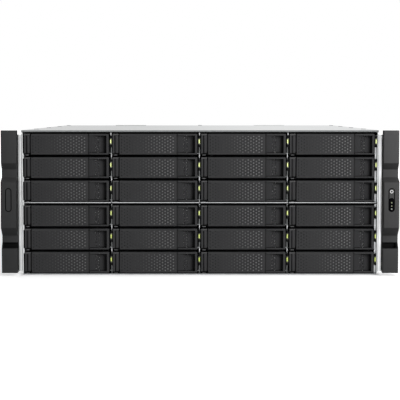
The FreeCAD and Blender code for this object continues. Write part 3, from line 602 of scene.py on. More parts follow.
shelf_bays = [bay for bay in BAYS if bay[0] == SHELF_ROW]
floor_bays = [bay for bay in BAYS if bay[0] == FLOOR_ROW]
left_bays = [bay for bay in BAYS if bay[1] == 1]
right_bays = [bay for bay in BAYS if bay[1] == LAST_BAY]
inner_bays = [bay for bay in BAYS if bay[1] < LAST_BAY]
left_gaps = [bay for bay in left_bays if bay[0] < FLOOR_ROW]
inner_gaps = [bay for bay in inner_bays if bay[0] < FLOOR_ROW]
top_bays = [bay for bay in inner_bays if bay[0] == 1]
# The felt strips are dark pieces put where there is only shade, painted shade; the bright tabs and
# hems are painted highlights.
STRIPS = (  # piece, finish, bays, left near low corner, right far top corner, rounding
    ("shelf_edges", shelf_zinc, shelf_bays, (0.7, 1.15, -0.66), (107.3, 1.6, 0.36), 0.1),
    ("tray_glides", shade_felt, shelf_bays + floor_bays, (1.3, 2.2, 0), (105.8, 11, 0.25), 0.05),
    ("wall_tabs", edge_highlight_zinc, left_gaps, (-0.6, 1.5, -3.6), (1.0, 2.8, 2.8), 0.3),
    ("divider_tabs", highlight_zinc, inner_gaps, (106.75, 11.3, -3.6), (108.0, 12.0, 2.8), 0.2),
    ("top_tabs", shelf_zinc, top_bays, (106.75, 1.9, 24.9), (108.0, 12.0, 28.5), 0.15),
    ("last_felt", shade_felt, right_bays[:1], (106.5, 11.2, 24.1), (108.5, 12.0, 28.2), 0.1),
    ("wall_felts", shade_felt, left_bays, (-0.6, 2.0, 3.0), (0.75, 12.0, 24.9), 0.2),
    ("wall_hems", edge_highlight_zinc, left_bays, (-1.4, 1.4, 0.4), (-0.2, 1.6, 28.2), 0.05),
    ("last_wall_hems", highlight_zinc, right_bays, (108.95, 1.4, 0.4), (109.8, 1.6, 28.2), 0.05),
    ("low_felts", shade_felt, inner_bays, (108.0, 11.3, 0.3), (109.2, 12.0, 9.9), 0.1),
    ("high_felts", shade_felt, inner_bays, (108.0, 11.3, 24.1), (109.2, 12.0, 28.85), 0.1),
)
for name, finish, bays, low, high, edge in STRIPS:
    strip = block("strip", in_bay(*low), in_bay(*high))
    nearest = in_bay(0, low[1], 0).y + 0.01 * MM
    bevel(strip, edge, 2, lambda a, b: max(a.y, b.y) < nearest)
    mount(spread(strip, name, [bay_offset(*bay) for bay in bays]), finish)

# Light pipes
# A clear moulded rod lies in each divider's hem and brings a lamp's light from the backplane to a
# rounded lens at the front. A black clip holds it in the hem.
PIPE_MIDDLE = 17.3
PIPE_HALF = 4.6
HEM_LEFT = 106.7
HEM_RIGHT = 108.6
LENS_FRONT = 3.6
LENS_BACK = 17.0
lens = block(
    "lens",
    in_bay(HEM_LEFT - 0.2, LENS_FRONT, PIPE_MIDDLE - PIPE_HALF),
    in_bay(HEM_RIGHT - 0.35, LENS_BACK, PIPE_MIDDLE + PIPE_HALF),
)
LENS_NEAR = FRONT + (LENS_FRONT + 1) * MM
bevel(lens, 2.4, 4, lambda a, b: max(a.y, b.y) < LENS_NEAR and abs(a.z - b.z) < 0.1 * MM)


def score(made, place, normal):
    """An edge loop round a piece where a plane crosses it."""
    pick(made, "FACE", lambda middle, direction: True)
    bpy.ops.mesh.bisect(plane_co=place, plane_no=normal)
    leave()


CORE_RIGHT = in_bay(107.5, 0, 0)
score(lens, CORE_RIGHT, (1, 0, 0))


def object_axes(tree):
    """The object's own coordinates, taken apart."""
    place = shader_node(tree, "TexCoord")
    axes = shader_node(tree, "SeparateXYZ")
    wire(tree, place, "Object", axes, "Vector")
    return axes


def object_noise(tree, scale, detail):
    """Noise in the object's own coordinates."""
    place = shader_node(tree, "TexCoord")
    noise = shader_node(tree, "TexNoise", Scale=scale, Detail=detail)
    wire(tree, place, "Object", noise, "Vector")
    return noise


def rising_colours(tree, mask, output, low_pair, top_pair):
    """A dark and a light colour along a mask, passing from one pair low down to another high up."""
    rise = shader_node(tree, "MapRange", From_Min=0.02, From_Max=0.16)
    wire(tree, object_axes(tree), "Z", rise, "Value")
    mixed = shader_node(tree, "Mix")
    mixed.data_type = "RGBA"
    wire(tree, rise, "Result", mixed, 0)
    for entry, (dark, light) in ((6, low_pair), (7, top_pair)):
        blend_colours(tree, mask, output, dark, light, mixed, entry)
    return mixed


def lens_finish(name, low_pair, top_pair, strength):
    """Lit clear plastic, a deeper green in the lower rows than in the upper ones."""
    material, tree, shader = new_finish(name, Roughness=0.22, Emission_Strength=strength)
    glow = object_noise(tree, 260, 1)
    mixed = rising_colours(tree, glow, "Fac", low_pair, top_pair)
    for entry in ("Base Color", "Emission Color"):
        wire(tree, mixed, 2, shader, entry)
    return material


lens_rim = lens_finish(
    "lens_rim",
    ((0.12, 0.16, 0.004), (0.16, 0.20, 0.006)),
    ((0.10, 0.125, 0.003), (0.13, 0.155, 0.006)),
    0.3,
)
lens_core = lens_finish(
    "lens_core",
    ((0.36, 0.43, 0.09), (0.46, 0.53, 0.14)),
    ((0.61, 0.68, 0.27), (0.75, 0.82, 0.38)),
    1.15,
)
lens_end = lens_finish(
    "lens_end",
    ((0.10, 0.11, 0.06), (0.14, 0.15, 0.08)),
    ((0.14, 0.15, 0.10), (0.18, 0.19, 0.14)),
    0.8,
)
paint(lens, lens_end)
paint(lens, lens_rim, lambda middle, normal: normal.y < -0.99)
paint(lens, lens_core, lambda middle, normal: normal.y < -0.99 and middle.x < CORE_RIGHT.x)
clip = block(
    "clip",
    in_bay(HEM_LEFT - 0.27, 4.0, PIPE_MIDDLE - 7.2),
    in_bay(HEM_RIGHT + 0.65, 20.4, PIPE_MIDDLE + 6.6),
)
bevel(clip, 0.25, 2, lambda a, b: max(a.y, b.y) < FRONT + 5 * MM)
# Black plastic of the clips; the same black is painted as shade into the levers' slits, notches and
# end faces and onto the ears' seals.
clip_plastic_and_shade = moulded_finish("clip_plastic_and_shade", cool(0.01), cool(0.018), 1500, 0.46, 0.58, 0.1)


def shift(made, test, move):
    """Moves the vertices that a test takes."""
    pick(made, "VERT", test)
    bpy.ops.transform.translate(value=move)
    leave()


HEM_AT_WALL = 0.216
bay_offsets = [bay_offset(*bay) for bay in BAYS]
lenses = spread(lens, "light_pipe_lenses", bay_offsets)
smooth(lenses)
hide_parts("light_pipes")
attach(lenses, "chassis")
clips = spread(clip, "light_pipe_clips", bay_offsets)
shift(clips, lambda at: at.x > HEM_AT_WALL, (-0.75 * MM, 0, 0))
mount(clips, clip_plastic_and_shade)

# Drive carriers
# Each carrier is a black moulding of two rails, cross bars and a hinge post with two lugs, around a
# bare drive. A steel pin through the lugs carries the lever. Its clip shows under the lower lug.
carrier_plastic_and_shade = moulded_finish("carrier_plastic_and_shade", cool(0.016), cool(0.026), 1300, 0.46, 0.6, 0.12)
drive_casting = zinc_finish("drive_casting", (0.3, 0.31, 0.32), (0.42, 0.43, 0.44), 1600, 0.4, 0.55)
drive_lid = zinc_finish("drive_lid", (0.42, 0.43, 0.44), (0.53, 0.54, 0.55), 700, 0.26, 0.36)
pin_steel = zinc_finish("pin_steel", (0.14, 0.14, 0.145), (0.19, 0.19, 0.195), 800, 0.30, 0.42)
lug_highlight_plastic = moulded_finish("lug_highlight_plastic", cool(0.05), cool(0.07), 1300, 0.46, 0.6, 0.1)
post_highlight_plastic = moulded_finish("post_highlight_plastic", cool(0.028), cool(0.04), 1300, 0.46, 0.6, 0.12)
tray_finishes = (carrier_plastic_and_shade, drive_casting, drive_lid, shade_felt, lug_highlight_plastic, post_highlight_plastic)
LUG_REACH = 9.0 * MM
LUG_RISE = 2.3 * MM
DRIVE_FRONT = FRONT + 21.9 * MM
DRIVE_INSET = 1.5 * MM


# The drives' front faces are painted the black carrier plastic and the lower lug's front black
# felt, painted shade; the upper lug's front is painted a light grey and the post's a lighter grey
# than the carrier, painted highlights.
def tray_share(middle, normal, low, high):
    if middle.y < low.y + LUG_REACH and middle.x < low.x + LUG_REACH and normal.y < -0.3:
        if middle.z < low.z + LUG_RISE:
            return 3
        return 4 if middle.z > high.z - LUG_RISE else 5
    inside = low.x + DRIVE_INSET < middle.x < high.x - DRIVE_INSET
    if middle.y < DRIVE_FRONT or normal.y < -0.9 or not inside:
        return 0
    return 2 if normal.z > 0.9 else 1


pin_clip = block("pin_clip", in_bay(2.4, 1.4, 0.5), in_bay(7.4, 8.4, 1.2))
bevel(pin_clip, 1.4, 4, lambda a, b: abs(a.z - b.z) > 0.5 * MM)
paint(pin_clip, pin_steel)
smooth(pin_clip)
for row, column in BAYS:
    tray = f"tray_r{row}_c{column}"
    low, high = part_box(tray)
    dress(tray, *tray_finishes, by=lambda middle, normal: tray_share(middle, normal, low, high))
    trim = copy_to(pin_clip, f"hinge_clip_r{row}_c{column}", bay_offset(row, column))
    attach(trim, tray)
bpy.data.objects.remove(pin_clip)

# Ejector levers
# Each lever is a hollow dark grey moulding, perforated for air, with a groove and a finger scoop on
# its right and a round knuckle on its left. A sheet is clipped behind the holes, painted from dark
# to light grey across each bay as painted shade and light.
NEAR = 0.05 * MM
FACE_LEFT = 9.6
FACE_RIGHT = 104.75
FACE_LOW = 1.2
FACE_TOP = 26.6
LEVER_DEPTH = 9.0
LEVER_WALL = 1.6
HOLED_WALL = 0.7
GROOVE_LEFT = 79.5
GROOVE_DEPTH = 0.6
SCOOP_LEFT = 80.9
SCOOP_RIGHT = 102.0
SCOOP_LOW = 3.2
SCOOP_TOP = 24.6
SCOOP_ENTRY = 0.7
SCOOP_END = 7.6
SCOOP_STEPS = 8
lever = block(
    "lever", in_bay(FACE_LEFT, 0, FACE_LOW), in_bay(FACE_RIGHT, LEVER_DEPTH, FACE_TOP)
)
RIGHT_END = in_bay(FACE_RIGHT, 0, 0).x - NEAR
bevel(lever, 1.3, 3, lambda a, b: min(a.x, b.x) > RIGHT_END and abs(a.y - b.y) > 1 * MM)
bevel(lever, 1.0, 3, lambda a, b: max(a.y, b.y) < FRONT + NEAR)

hollow = block(
    "hollow",
    in_bay(FACE_LEFT + LEVER_WALL, HOLED_WALL, FACE_LOW + LEVER_WALL),
    in_bay(SCOOP_RIGHT - LEVER_WALL, LEVER_DEPTH + 1, FACE_TOP - LEVER_WALL),
)
BEHIND_SCOOP = (  # from the bay's left, how far behind the holed wall's back
    (GROOVE_LEFT - 1.6, 0),
    (SCOOP_LEFT, 1.7),
    (91.9, 3.9),
    (SCOOP_RIGHT - LEVER_WALL, 8.2),
)
for across, inward in BEHIND_SCOOP[:-1]:
    score(hollow, in_bay(across, 0, 0), (1, 0, 0))
for across, inward in BEHIND_SCOOP[1:]:
    along = in_bay(across, 0, 0).x
    shift(
        hollow,
        lambda at: abs(at.x - along) < NEAR and at.y < FRONT + LEVER_DEPTH * MM,
        (0, inward * MM, 0),
    )
cut(lever, hollow)

NOTCH = 3.9
NOTCH_DEPTH = 1.3
ABOVE = 28
NOTCHES = ((0, NOTCH), (FACE_TOP + FACE_LOW - NOTCH, ABOVE))
GROOVE_RIGHT = SCOOP_LEFT + 0.15
cut(lever, block("groove", in_bay(GROOVE_LEFT, -1, 0), in_bay(GROOVE_RIGHT, GROOVE_DEPTH, ABOVE)))
for low, top in NOTCHES:
    notch = block(
        "notch", in_bay(GROOVE_LEFT + 0.1, -1, low), in_bay(SCOOP_LEFT + 0.1, NOTCH_DEPTH, top)
    )
    cut(lever, notch)

scoop = block(
    "scoop", in_bay(SCOOP_LEFT, -1, SCOOP_LOW), in_bay(SCOOP_RIGHT, SCOOP_ENTRY, SCOOP_TOP)
)
scoop_lines = [
    in_bay(SCOOP_LEFT + (SCOOP_RIGHT - SCOOP_LEFT) * step / SCOOP_STEPS, 0, 0)
    for step in range(1, SCOOP_STEPS + 1)
]
for line in scoop_lines[:-1]:
    score(scoop, line, (1, 0, 0))
for step, line in enumerate(scoop_lines, 1):
    fall = (SCOOP_END - SCOOP_ENTRY) * (step / SCOOP_STEPS) ** 1.7 * MM
    shift(scoop, lambda at: abs(at.x - line.x) < NEAR and at.y > FRONT, (0, fall, 0))
SLIT = 0.9
SLIT_DEPTH = 0.9
slit = copy_to(scoop, "slit")
half_up = in_bay(0, 0, (SCOOP_LOW + SCOOP_TOP) / 2).z
shift(slit, lambda at: at.z > half_up, (0, 0, (SCOOP_LOW + SLIT - SCOOP_TOP) * MM))
shift(slit, lambda at: at.y > FRONT, (0, SLIT_DEPTH * MM, 0))
shift(slit, lambda at: at.z < in_bay(0, 0, SCOOP_LOW).z + NEAR, (0, 0, -0.1 * MM))
shift(slit, lambda at: at.x < in_bay(SCOOP_LEFT, 0, 0).x + NEAR, (0.4 * MM, 0, 0))
cut(lever, scoop)
cut(lever, slit)

HOLE_RISE = 3.84
HOLE_STEP = 3.32
LAST_COLUMN = 75.5
HOLE_RADIUS = 0.95
HOLE_COLUMNS = 10
MIDDLE = (FACE_LOW + FACE_TOP) / 2
for column in range(2 * HOLE_COLUMNS):
    score(lever, in_bay(LAST_COLUMN - (column + 0.5) * HOLE_STEP, 0, 0), (1, 0, 0))
for line in range(4):
    score(lever, in_bay(0, 0, MIDDLE + (line - 1.5) * HOLE_RISE), (0, 0, 1))
HOLES = (  # first column, holes in a column, columns, cutter's middle and length
    (0, 5, HOLE_COLUMNS, 0.7, 4),
    (-1, 6, HOLE_COLUMNS, 0.7, 4),
    (4, 5, 1, 3, 9),
    (5, 6, 1, 3, 9),
)
for column, count, columns, inward, length in HOLES:
    lowest = MIDDLE - (count - 1) / 2 * HOLE_RISE
    first = in_bay(LAST_COLUMN + column * HOLE_STEP, inward, lowest)
    holes = rod("holes", 6, HOLE_RADIUS, length, first)
    repeat(holes, count, (0, 0, HOLE_RISE * MM))
    repeat(holes, columns, (-2 * HOLE_STEP * MM, 0, 0))
    cut(lever, holes)

KNUCKLE_ACROSS = 6.3
KNUCKLE_RADIUS = 2.3
KNUCKLE_HEIGHT = 21.2
knuckle_middle = in_bay(KNUCKLE_ACROSS, 2.7, MIDDLE)
knuckle = rod("knuckle", 32, KNUCKLE_RADIUS, KNUCKLE_HEIGHT, knuckle_middle, upright=True)
bevel(knuckle, 0.3, 2, lambda middle, normal: abs(normal.z) > 0.9, "FACE")
web = block("web", in_bay(KNUCKLE_ACROSS, 2.9, 4.3), in_bay(FACE_LEFT + 0.8, 4.5, 23.5))
cut(knuckle, web, "UNION")
cut(lever, knuckle, "UNION")


def clean(made):
    """Merges the vertices that a cut left almost in one place."""
    pick(made, "VERT", lambda at: True)
    bpy.ops.mesh.remove_doubles(threshold=0.03 * MM)
    leave()


clean(lever)

lever_plastic = moulded_finish("lever_plastic", cool(0.027), cool(0.037), 1600, 0.46, 0.58, 0.1)
scoop_shade_plastic = moulded_finish("scoop_shade_plastic", cool(0.02), cool(0.029), 2200, 0.5, 0.62, 0.08)
groove_shade_plastic = moulded_finish(
    "groove_shade_plastic", (0.012, 0.012, 0.012), (0.017, 0.017, 0.017), 2200, 0.5, 0.62, 0.08
)
EASE = 0.05


def between(low, high):
    """A test for faces whose middle lies between two points of the top left bay."""
    low, high = in_bay(*low), in_bay(*high)
    return lambda middle, normal: all(a < at < b for a, at, b in zip(low, middle, high))


scoop_corner = (SCOOP_LEFT - EASE, 0.2, SCOOP_LOW - EASE)
in_scoop = between(scoop_corner, (SCOOP_RIGHT + EASE, 8.5, SCOOP_TOP + EASE))
in_slit = between(scoop_corner, (SCOOP_RIGHT, 9.5, SCOOP_LOW + SLIT - EASE))
in_groove = between(
    (GROOVE_LEFT - EASE, EASE, 0), (GROOVE_RIGHT + EASE, GROOVE_DEPTH + EASE, ABOVE)
)
# The scoop and the groove are painted darker plastic, and the slit, the notches and the right end
# face black: all painted shade.
paint(lever, lever_plastic)
paint(lever, scoop_shade_plastic, lambda middle, normal: normal.y < 0 and in_scoop(middle, normal))
paint(lever, groove_shade_plastic, in_groove)
paint(lever, clip_plastic_and_shade, in_slit)
for low, top in NOTCHES:
    in_notch = between(
        (GROOVE_LEFT - EASE, 0.61, low), (SCOOP_LEFT + EASE, NOTCH_DEPTH + EASE, top)
    )
    paint(lever, clip_plastic_and_shade, in_notch)
END_FACE = in_bay(FACE_RIGHT - 0.1, 0, 0).x
paint(lever, clip_plastic_and_shade, lambda middle, normal: normal.x > 0.9 and middle.x > END_FACE)

backing = block(
    "backing",
    in_bay(FACE_LEFT + LEVER_WALL + 0.1, HOLED_WALL + 0.15, FACE_LOW + LEVER_WALL + 0.1),
    in_bay(GROOVE_LEFT - 2.0, HOLED_WALL + 0.65, FACE_TOP - LEVER_WALL - 0.1),
)
scoop_backing = block(
    "scoop_backing",
    in_bay(LAST_COLUMN + 4 * HOLE_STEP - 2, 0.2, FACE_LOW + LEVER_WALL + 0.1),
    in_bay(LAST_COLUMN + 5 * HOLE_STEP + 2, 0.6, FACE_TOP - LEVER_WALL - 0.1),
)
middle_of_backing = in_bay(LAST_COLUMN + 4.5 * HOLE_STEP, 0, 0).x
shift(scoop_backing, lambda at: at.x < middle_of_backing, (0, 3.9 * MM, 0))
shift(scoop_backing, lambda at: at.x > middle_of_backing, (0, 5.9 * MM, 0))


def compute(tree, operation, *entries):
    """A math node with each input wired to a (node, output) pair or set to a number."""
    node = shader_node(tree, "Math")
    node.operation = operation
    for number, entry in enumerate(entries):
        if isinstance(entry, tuple):
            wire(tree, *entry, node, number)
        else:
            node.inputs[number].default_value = entry
    return node


# The sheet is painted from near black at each bay's left to light grey at its right, so that the
# holes show dark at the left and bright at the right: painted shade and light.
backing_light_ramp, tree, shader = new_finish("backing_light_ramp", Roughness=0.6, Specular_IOR_Level=0.2)
BAY_PITCH = 108.0 * MM
from_left = compute(tree, "SUBTRACT", (object_axes(tree), "X"), BAY_LEFT)
in_pitch = compute(tree, "WRAP", (from_left, "Value"), 0.0, BAY_PITCH)
fade = shader_node(tree, "MapRange", From_Min=12 * MM, From_Max=92 * MM)
wire(tree, in_pitch, "Value", fade, "Value")
blend = blend_colours(tree, fade, "Result", (0.006, 0.006, 0.006), (0.72, 0.72, 0.71), shader)
SHADES = {0.11: 0.010, 0.21: 0.045, 0.32: 0.062, 0.45: 0.14, 0.59: 0.21, 0.84: 0.28, 0.95: 0.72}
for position, shade in SHADES.items():
    point = blend.color_ramp.elements.new(position)
    point.color = (shade, shade, shade, 1)
paint(backing, backing_light_ramp)
paint(scoop_backing, backing_light_ramp)
lever = join([lever, backing, scoop_backing], "lever")
smooth(lever, 30)
for row, column in BAYS:
    node = f"lever_r{row}_c{column}"
    copy = copy_to(lever, f"ejector_r{row}_c{column}", bay_offset(row, column))
    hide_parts(node)
    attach(copy, node)
bpy.data.objects.remove(lever)

# Ear covers
# A hollow grey moulding clips over each rack bracket and hides its screws. Its front has two
# grooves, a finger slot, a pad that stands forward and, in the pad, the outline of a long pill.
EAR_GRAINS = 1300


def ear_finish(name, low_pair, top_pair):
    """The ears' plastic, painted a little lighter towards the top as painted light from above."""
    material, tree, shader, mould = grain_finish(
        name, mould_group, EAR_GRAINS, 0.44, 0.56, 0.12, Specular_IOR_Level=0.1
    )
    colours = rising_colours(tree, mould, "Shade", low_pair, top_pair)
    wire(tree, colours, 2, shader, "Base Color")
    return material


def grey(level):
    return (level, level, 1.02 * level)


# The right ear is painted lighter than the left, painted light from the right.
ear_left_shaded = ear_finish("ear_left_shaded", (grey(0.024), grey(0.032)), (grey(0.03), grey(0.04)))
ear_right_lit = ear_finish("ear_right_lit", (grey(0.03), grey(0.039)), (grey(0.046), grey(0.059)))
ear_slope_shade = moulded_finish("ear_slope_shade", grey(0.025), grey(0.033), EAR_GRAINS, 0.5, 0.62, 0.06)
ear_shade_black = moulded_finish("ear_shade_black", grey(0.004), grey(0.007), EAR_GRAINS, 0.6, 0.7, 0.02)
ear_side_shade = moulded_finish(
    "ear_side_shade", (0.006, 0.006, 0.006), (0.011, 0.011, 0.011), EAR_GRAINS, 0.5, 0.62, 0.12
)
ear_low, ear_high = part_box("ear_covers")
EAR_OUTER = ear_high.x
EAR_WIDTH = 18.9 * MM
EAR_FRONT = FRONT - 11 * MM
PILL_WIDTH = 7.9
PILL_HEIGHT = 29.0
PILL_ACROSS = EAR_OUTER - EAR_WIDTH / 2
PILL_UP = 92.9 * MM
PAD_FRONT = FRONT - 16 * MM


def pill(name, width, height, depth, side, up=PILL_UP):
    """A long round-ended block that reaches a depth into the pad's front."""
    made = rod(name, 32, width / 2, 2 * depth, (side * PILL_ACROSS, PAD_FRONT, up))
    rise = (height - width) / 2 * MM
    shift(made, lambda at: at.z > up + NEAR, (0, 0, rise))
    shift(made, lambda at: at.z < up - NEAR, (0, 0, -rise))
    return made


SLOT_LOW = 33.9
SLOT_TOP = 40.3


def in_ear_shadow(side, middle, normal):
    """The ear's pill groove and the inside of its finger slot, which are painted black as shade."""
    if normal.y >= 0.5:
        return False
    across = side * middle.x
    in_slot = (SLOT_LOW - 0.1) * MM < middle.z < (SLOT_TOP + 0.3) * MM
    if in_slot and middle.y > EAR_FRONT and across < EAR_OUTER - 1 * MM:
        return True
    in_pill = abs(middle.z - PILL_UP) < 15 * MM and abs(across - PILL_ACROSS) < 4.2 * MM
    return in_pill and PAD_FRONT + 0.3 * MM < middle.y < PAD_FRONT + 2 * MM


def side_block(name, side, across, depth, up):
    """A block on one side of the server, between two limits each way."""
    ends = sorted((side * across[0], side * across[1]))
    return block(name, (ends[0], depth[0], up[0]), (ends[1], depth[1], up[1]))


EAR_PROFILE = {33.3: 0, 40.7: 6, 48.9: 6, 58.9: -5, 114.6: -5, 119.6: 6.5, 129.7: 6.5, 137.1: 0}
EAR_INNER = EAR_OUTER - EAR_WIDTH
PILL_LINE = 2.3
ears = {}
for side, name in ((-1, "ear_cover_left"), (1, "ear_cover_right")):
    ear = side_block(
        name, side, (EAR_INNER, EAR_OUTER), (EAR_FRONT, ear_high.y), (ear_low.z, ear_high.z)
    )
    for height in EAR_PROFILE:
        score(ear, (0, 0, height * MM), (0, 0, 1))
    for height, reach in EAR_PROFILE.items():
        shift(
            ear,
            lambda at: abs(at.z - height * MM) < NEAR and at.y < EAR_FRONT + NEAR,
            (0, reach * MM, 0),
        )
    bevel(ear, 0.9, 3, lambda a, b: max(a.y, b.y) < FRONT - 2 * MM)
    pick(ear, "FACE", lambda middle, normal: normal.y > 0.99)
    bpy.ops.mesh.inset(thickness=2 * MM)
    bpy.ops.transform.translate(value=(0, -1.8 * MM, 0))
    leave()
    slot_cut = side_block(
        "slot_cut",
        side,
        (EAR_INNER - 2 * MM, EAR_OUTER - 2.6 * MM),
        (EAR_FRONT - 2 * MM, FRONT - 3.4 * MM),
        (SLOT_LOW * MM, SLOT_TOP * MM),
    )
    bevel(slot_cut, 1.0, 3, lambda a, b: abs(a.y - b.y) > 2 * MM)
    cut(ear, slot_cut)
    ring = pill("ring", PILL_WIDTH, PILL_HEIGHT, 1.1, side)
    cut(ring, pill("kept", PILL_WIDTH - PILL_LINE, PILL_HEIGHT - PILL_LINE, 3.0, side))
    cut(ear, ring)
    ears[side] = ear
BUTTON_UP = 103.1 * MM
cut(ears[1], rod("button_seat", 32, 2.45, 4, (PILL_ACROSS, PAD_FRONT, BUTTON_UP)))
WINDOW_UP = 87.15 * MM
WINDOW_HEIGHT = 16.7
cut(ears[1], pill("window_seat", PILL_WIDTH - 0.4, WINDOW_HEIGHT, 0.5, 1, WINDOW_UP))
SEAL_ACROSS = (221.65 * MM, 223.5 * MM)
SEAL_DEPTH = (FRONT - 0.8 * MM, FRONT + 0.95 * MM)
SEAL_UP = (5.5 * MM, 171 * MM)
for side, ear in ears.items():
    clean(ear)
    # Down-facing slopes are painted darker, the inner sides darker still and the pill groove and
    # finger slot black: all painted shade.
    paint(ear, ear_left_shaded if side < 0 else ear_right_lit)
    paint(ear, ear_slope_shade, lambda middle, normal: normal.y < -0.2 and 0.3 < abs(normal.z) < 0.95)
    paint(ear, ear_side_shade, lambda middle, normal: side * normal.x < -0.9)
    paint(ear, ear_shade_black, lambda middle, normal: in_ear_shadow(side, middle, normal))
    smooth(ear, 30)
    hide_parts("ear_covers")
    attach(ear, "chassis")
    # Black seals behind the ears' inner edges stand where there is only shade: painted shade.
    name = "ear_seal_left" if side < 0 else "ear_seal_right"
    seal = side_block(name, side, SEAL_ACROSS, SEAL_DEPTH, SEAL_UP)
    bevel(seal, 0.25, 2, lambda a, b: max(a.y, b.y) < FRONT - 0.7 * MM)
    mount(seal, clip_plastic_and_shade)

# Status window
# A glossy black strip is set into the lower part of the right ear's pill, with three lamps behind
# small round lenses in it.
window = pill("status_window", PILL_WIDTH - 0.6, WINDOW_HEIGHT - 0.2, 0.42, 1, WINDOW_UP)
pick(window, "FACE", lambda middle, normal: normal.y < -0.9)
bpy.ops.transform.translate(value=(0, 0.25 * MM, 0))
bpy.ops.mesh.bevel(offset=0.12 * MM, segments=2, affect="EDGES")
leave()
window_gloss = moulded_finish(
    "window_gloss", (0.0015, 0.0015, 0.002), (0.003, 0.003, 0.0035), 300, 0.1, 0.16, 0.01, 0.02
)
mount(window, window_gloss)
WINDOW_FRONT = min(vertex.co.y for vertex in window.data.vertices)


def lamp_finish(name, dark, light, strength):
    material, tree, shader = new_finish(name, Roughness=0.25, Emission_Strength=strength)
    glow = object_noise(tree, 700, 1)
    blend_colours(tree, glow, "Fac", dark, light, shader)
    blend_colours(tree, glow, "Fac", dark, light, shader, "Emission Color")
    return material


lamp_green = lamp_finish("lamp_green", (0.11, 0.12, 0.07), (0.14, 0.15, 0.10), 0.5)
lamp_yellow = lamp_finish("lamp_yellow", (0.11, 0.11, 0.07), (0.13, 0.13, 0.09), 0.5)
lamp_white = lamp_finish("lamp_white", (0.16, 0.17, 0.16), (0.20, 0.21, 0.20), 0.5)
for name, up, finish in (
    ("status_lamp_1", 89.6, lamp_green),
    ("status_lamp_2", 85.6, lamp_yellow),
    ("status_lamp_3", 82.0, lamp_white),
):
    lamp = rod(name, 20, 0.85, 0.5, (PILL_ACROSS, WINDOW_FRONT, up * MM))
    bevel(lamp, 0.2, 3, lambda middle, normal: normal.y < -0.9, "FACE")
    mount(lamp, finish)

# Power button
# A round black push button in the pad's pill, held by a collar behind the wall, with a white ring
# moulded into its face.
low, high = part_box("power_button")
BUTTON_RADIUS = 2.3
button = rod("push_button", 40, BUTTON_RADIUS, (high.y - low.y) / MM, (low + high) / 2)
button_plastic = moulded_finish("button_plastic", cool(0.012), cool(0.02), 900, 0.3, 0.42, 0.4)
paint(button, button_plastic)
# The white ring is painted with a faint glow, painted light.
button_ring_glow = lamp_finish("button_ring_glow", (0.36, 0.36, 0.36), (0.43, 0.43, 0.43), 0.5)
button.data.materials.append(button_ring_glow)
pick(button, "FACE", lambda middle, normal: normal.y < -0.9)
bpy.ops.mesh.inset(thickness=0.25 * MM)
button.active_material_index = 1
bpy.ops.mesh.inset(thickness=0.85 * MM)
leave()
RING_INNER = 1.2 * MM
RING_OUTER = 2.02 * MM
button_middle = Vector((PILL_ACROSS, 0, BUTTON_UP))
for face in button.data.polygons:
    reach = (Vector((face.center.x, 0, face.center.z)) - button_middle).length
    ring_face = face.normal.y < -0.9 and RING_INNER < reach < RING_OUTER
    face.material_index = int(ring_face)
pick(
    button,
    "FACE",
    lambda middle, normal: normal.y < -0.9 and abs(middle.x - PILL_ACROSS) < 0.01 * MM,
)
bpy.ops.transform.translate(value=(0, 0.2 * MM, 0))
leave()
smooth(button, 30)
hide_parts("power_button")
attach(button, "power_button")

# Top cover
# One plate of plain zinc-coated steel with a folded front lip, laid on the pan's top folds and held
# by flat-headed screws along its sides and its back. The sheet is painted a little lighter to the
# right, a painted sheen standing in for light from the right.
cover_sheet = zinc_finish("cover_sheet", (0.45, 0.46, 0.46), (0.56, 0.57, 0.57), 240, 0.30, 0.42)
tree = cover_sheet.node_tree
shader = tree.nodes["Principled BSDF"]
sheen = shader_node(tree, "MapRange", From_Min=-0.12, From_Max=0.12, To_Min=0.96, To_Max=1.27)
sheen.interpolation_type = "SMOOTHSTEP"
wire(tree, object_axes(tree), "X", sheen, "Value")
lit = shader_node(tree, "VectorMath")
lit.operation = "SCALE"
tree.links.new(shader.inputs["Base Color"].links[0].from_socket, lit.inputs[0])
wire(tree, sheen, "Result", lit, "Scale")
wire(tree, lit, "Vector", shader, "Base Color")
# The lip's front faces are painted a darker zinc, painted shade.
lip_shade_zinc = zinc_finish("lip_shade_zinc", (0.20, 0.21, 0.21), (0.27, 0.28, 0.28), 240, 0.34, 0.46)
dress("top_cover", cover_sheet, lip_shade_zinc, by=lambda middle, normal: int(normal.y < -0.25))
COVER_TOP = 177.0
SCREWS_ALONG = (-190, -50, 90, 230)
side_screws = [
    ((side * 210, along, COVER_TOP), (0, 0, 1)) for side in sides for along in SCREWS_ALONG
]
back_screws = [((across, 260, COVER_TOP), (0, 0, 1)) for across in (-130, 0, 130)]
place_heads(
    screw_head("cover_screw", 3.2, 0.7), "cover_screws", screw_steel, side_screws + back_screws
)
GRIP_ACROSS = 110
GRIP_HALF = 24
GRIP_START = 212
RIB_WIDTH = 3
RIB_PITCH = 6.5
ribs = []
for side in sides:
    for number in range(4):
        along = GRIP_START + RIB_PITCH * number
        rib = block(
            "rib",
            Vector((side * GRIP_ACROSS - GRIP_HALF, along, COVER_TOP - 0.4)) * MM,
            Vector((side * GRIP_ACROSS + GRIP_HALF, along + RIB_WIDTH, COVER_TOP + 0.9)) * MM,
        )
        bevel(rib, 0.8, 3, lambda a, b: min(a.z, b.z) > COVER_TOP * MM)
        ribs.append(rib)
mount(join(ribs, "cover_grips"), cover_sheet)
SEAL_LOW = 173.35
SEAL_HALF = 0.214
LIP_LOW = 174.45
LIP_HALF = 0.2155
